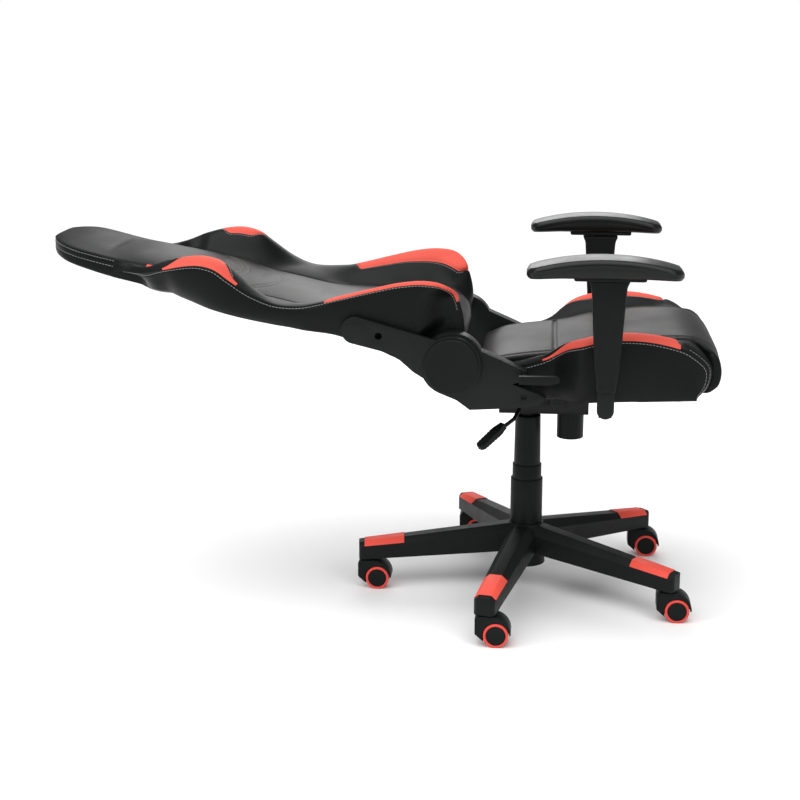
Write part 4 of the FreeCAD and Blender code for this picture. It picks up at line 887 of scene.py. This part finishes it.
def make_hard_parts():
    make_paddle()
    make_knob()
    refined("star_base", "nylon", 1.6 * MM, 3, "moulding")
    refined("base_trim_pads", "coral_plastic", 0.5 * MM, 2, "set")
    for name in ("lower_cover", "middle_cover", "upper_cover"):
        refined(name, "nylon", 0.6 * MM, 2, "cup")
    for number in CASTERS:
        refined(f"caster_hood_{number}", "nylon", 1.0 * MM, 2, "moulding")
        refined(f"caster_tyre_{number}", "coral_tyre", 2.2 * MM, 3, "moulding")
    for word, _sign in SIDES:
        refined(f"arm_slider_{word}", "nylon", 1.0 * MM, 2, "plate")
        refined(f"arm_bracket_{word}", "black_steel", 1.2 * MM, 2, "strip")
        refined(f"arm_button_{word}", "nylon", 1.0 * MM, 2, "key")
        refined(f"hinge_bracket_{word}", "black_steel", 1.6 * MM, 3, "casting")
        refined(f"back_arm_{word}", "black_steel", 2.4 * MM, 3, "pressing")
    refined("hinge_caps", "nylon", 1.0 * MM, 2, "pair")
    refined("recline_lever", "nylon", 1.8 * MM, 3, "handle")
    refined("tilt_housing", "black_steel", 1.2 * MM, 2, "box")
    refined("tilt_plate", "black_steel", 0.8 * MM, 2, "sheet")


for side_word, _ in SIDES:
    make_arm_pad(side_word)
    make_arm_post(side_word)
make_hard_parts()


# ---------------------------------------------------------------- carried-over CAD nodes
NODE_FINISH = {
    "nylon": ("star_base", "lower_cover", "middle_cover", "upper_cover", "tension_knob", "height_lever_grip",
              "hinge_caps", "arm_post_", "arm_slider_", "arm_button_", "caster_hood_", "caster_hub_",
              "recline_lever"),
    "coral_plastic": ("base_trim_pads",),
    "coral_tyre": ("caster_tyre_",),
    "acetal": ("guide_bush",),
    "bright_steel": ("caster_stems", "thrust_bearing", "piston_rod", "release_pin", "tilt_spring"),
    "webbing": ("seat_pan",),
    "arm_foam": ("arm_pad_",),
}


def finish_nodes():
    """Every CAD node gets the finish of its kind, and powder-coated steel where no other is named."""
    for name, piece in frame["nodes"].items():
        slot = next((slot for slot, starts in NODE_FINISH.items() if name.startswith(starts)), "black_steel")
        piece.data.materials.clear()
        piece.data.materials.append(FINISH[slot])


finish_nodes()


# ---------------------------------------------------------------- stage, lights and camera
def make_stage():
    """A pale floor that runs on to the horizon."""
    bpy.ops.mesh.primitive_plane_add(size=120)
    floor = bpy.context.object
    floor.name = "floor"
    paper = bpy.data.materials.new("Studio_paper")
    paper.use_nodes = True
    shader = paper.node_tree.nodes["Principled BSDF"]
    shader.inputs["Base Color"].default_value = (0.9, 0.9, 0.9, 1)
    shader.inputs["Roughness"].default_value = 0.9
    floor.data.materials.append(paper)


def soft_box(name, place, target, size, watts):
    light = bpy.data.lights.new(name, "AREA")
    light.shape = "RECTANGLE"
    light.size, light.size_y = size
    light.energy = watts
    lamp = bpy.data.objects.new(name, light)
    bpy.context.scene.collection.objects.link(lamp)
    lamp.location = place
    lamp.rotation_euler = (Vector(target) - Vector(place)).to_track_quat("-Z", "Y").to_euler()


def make_sky(lamp_strength, shown_strength):
    """Even light from all round, shown to the camera as plain white."""
    world = bpy.data.worlds.new("studio")
    bpy.context.scene.world = world
    world.use_nodes = True
    tree = world.node_tree
    sky = tree.nodes["Background"]
    sky.inputs["Color"].default_value = (1, 1, 1, 1)
    seen = tree.nodes.new("ShaderNodeLightPath")
    strength = tree.nodes.new("ShaderNodeMix")
    strength.inputs["A"].default_value = lamp_strength
    strength.inputs["B"].default_value = shown_strength
    tree.links.new(seen.outputs["Is Camera Ray"], strength.inputs["Factor"])
    tree.links.new(strength.outputs["Result"], sky.inputs["Strength"])


def make_lights():
    middle = (0, 0.3, 0.5)
    overhead = bpy.data.lights.new("overhead", "SUN")
    overhead.energy = 3.1
    overhead.angle = math.radians(70)
    lamp = bpy.data.objects.new("overhead", overhead)
    bpy.context.scene.collection.objects.link(lamp)
    lamp.rotation_euler = (math.radians(-8), math.radians(-14), 0)
    soft_box("key_light", (-2.6, -1.8, 2.4), middle, (1.6, 1.6), 26)
    soft_box("rear_light", (-1.8, 3.0, 2.0), middle, (1.6, 1.6), 22)
    soft_box("far_light", (2.8, 0.4, 2.0), middle, (2.0, 2.0), 30)
    make_sky(0.28, 1.0)


CAMERA_PLACE = (-3.2005, -0.0316, 1.2248)
CAMERA_LENS = 70.2


def make_camera():
    """A camera level with the armrests, on the sitter's right, looking slightly down."""
    yaw, dip = math.radians(5.42), math.radians(14.26)
    data = bpy.data.cameras.new("camera")
    data.sensor_width = 36
    data.lens = CAMERA_LENS
    camera = bpy.data.objects.new("camera", data)
    bpy.context.scene.collection.objects.link(camera)
    camera.location = CAMERA_PLACE
    look = Vector((math.cos(yaw) * math.cos(dip), math.sin(yaw) * math.cos(dip), -math.sin(dip)))
    camera.rotation_euler = look.to_track_quat("-Z", "Y").to_euler()
    bpy.context.scene.camera = camera


make_stage()
make_lights()
make_camera()
bpy.context.scene.view_settings.view_transform = "Standard"
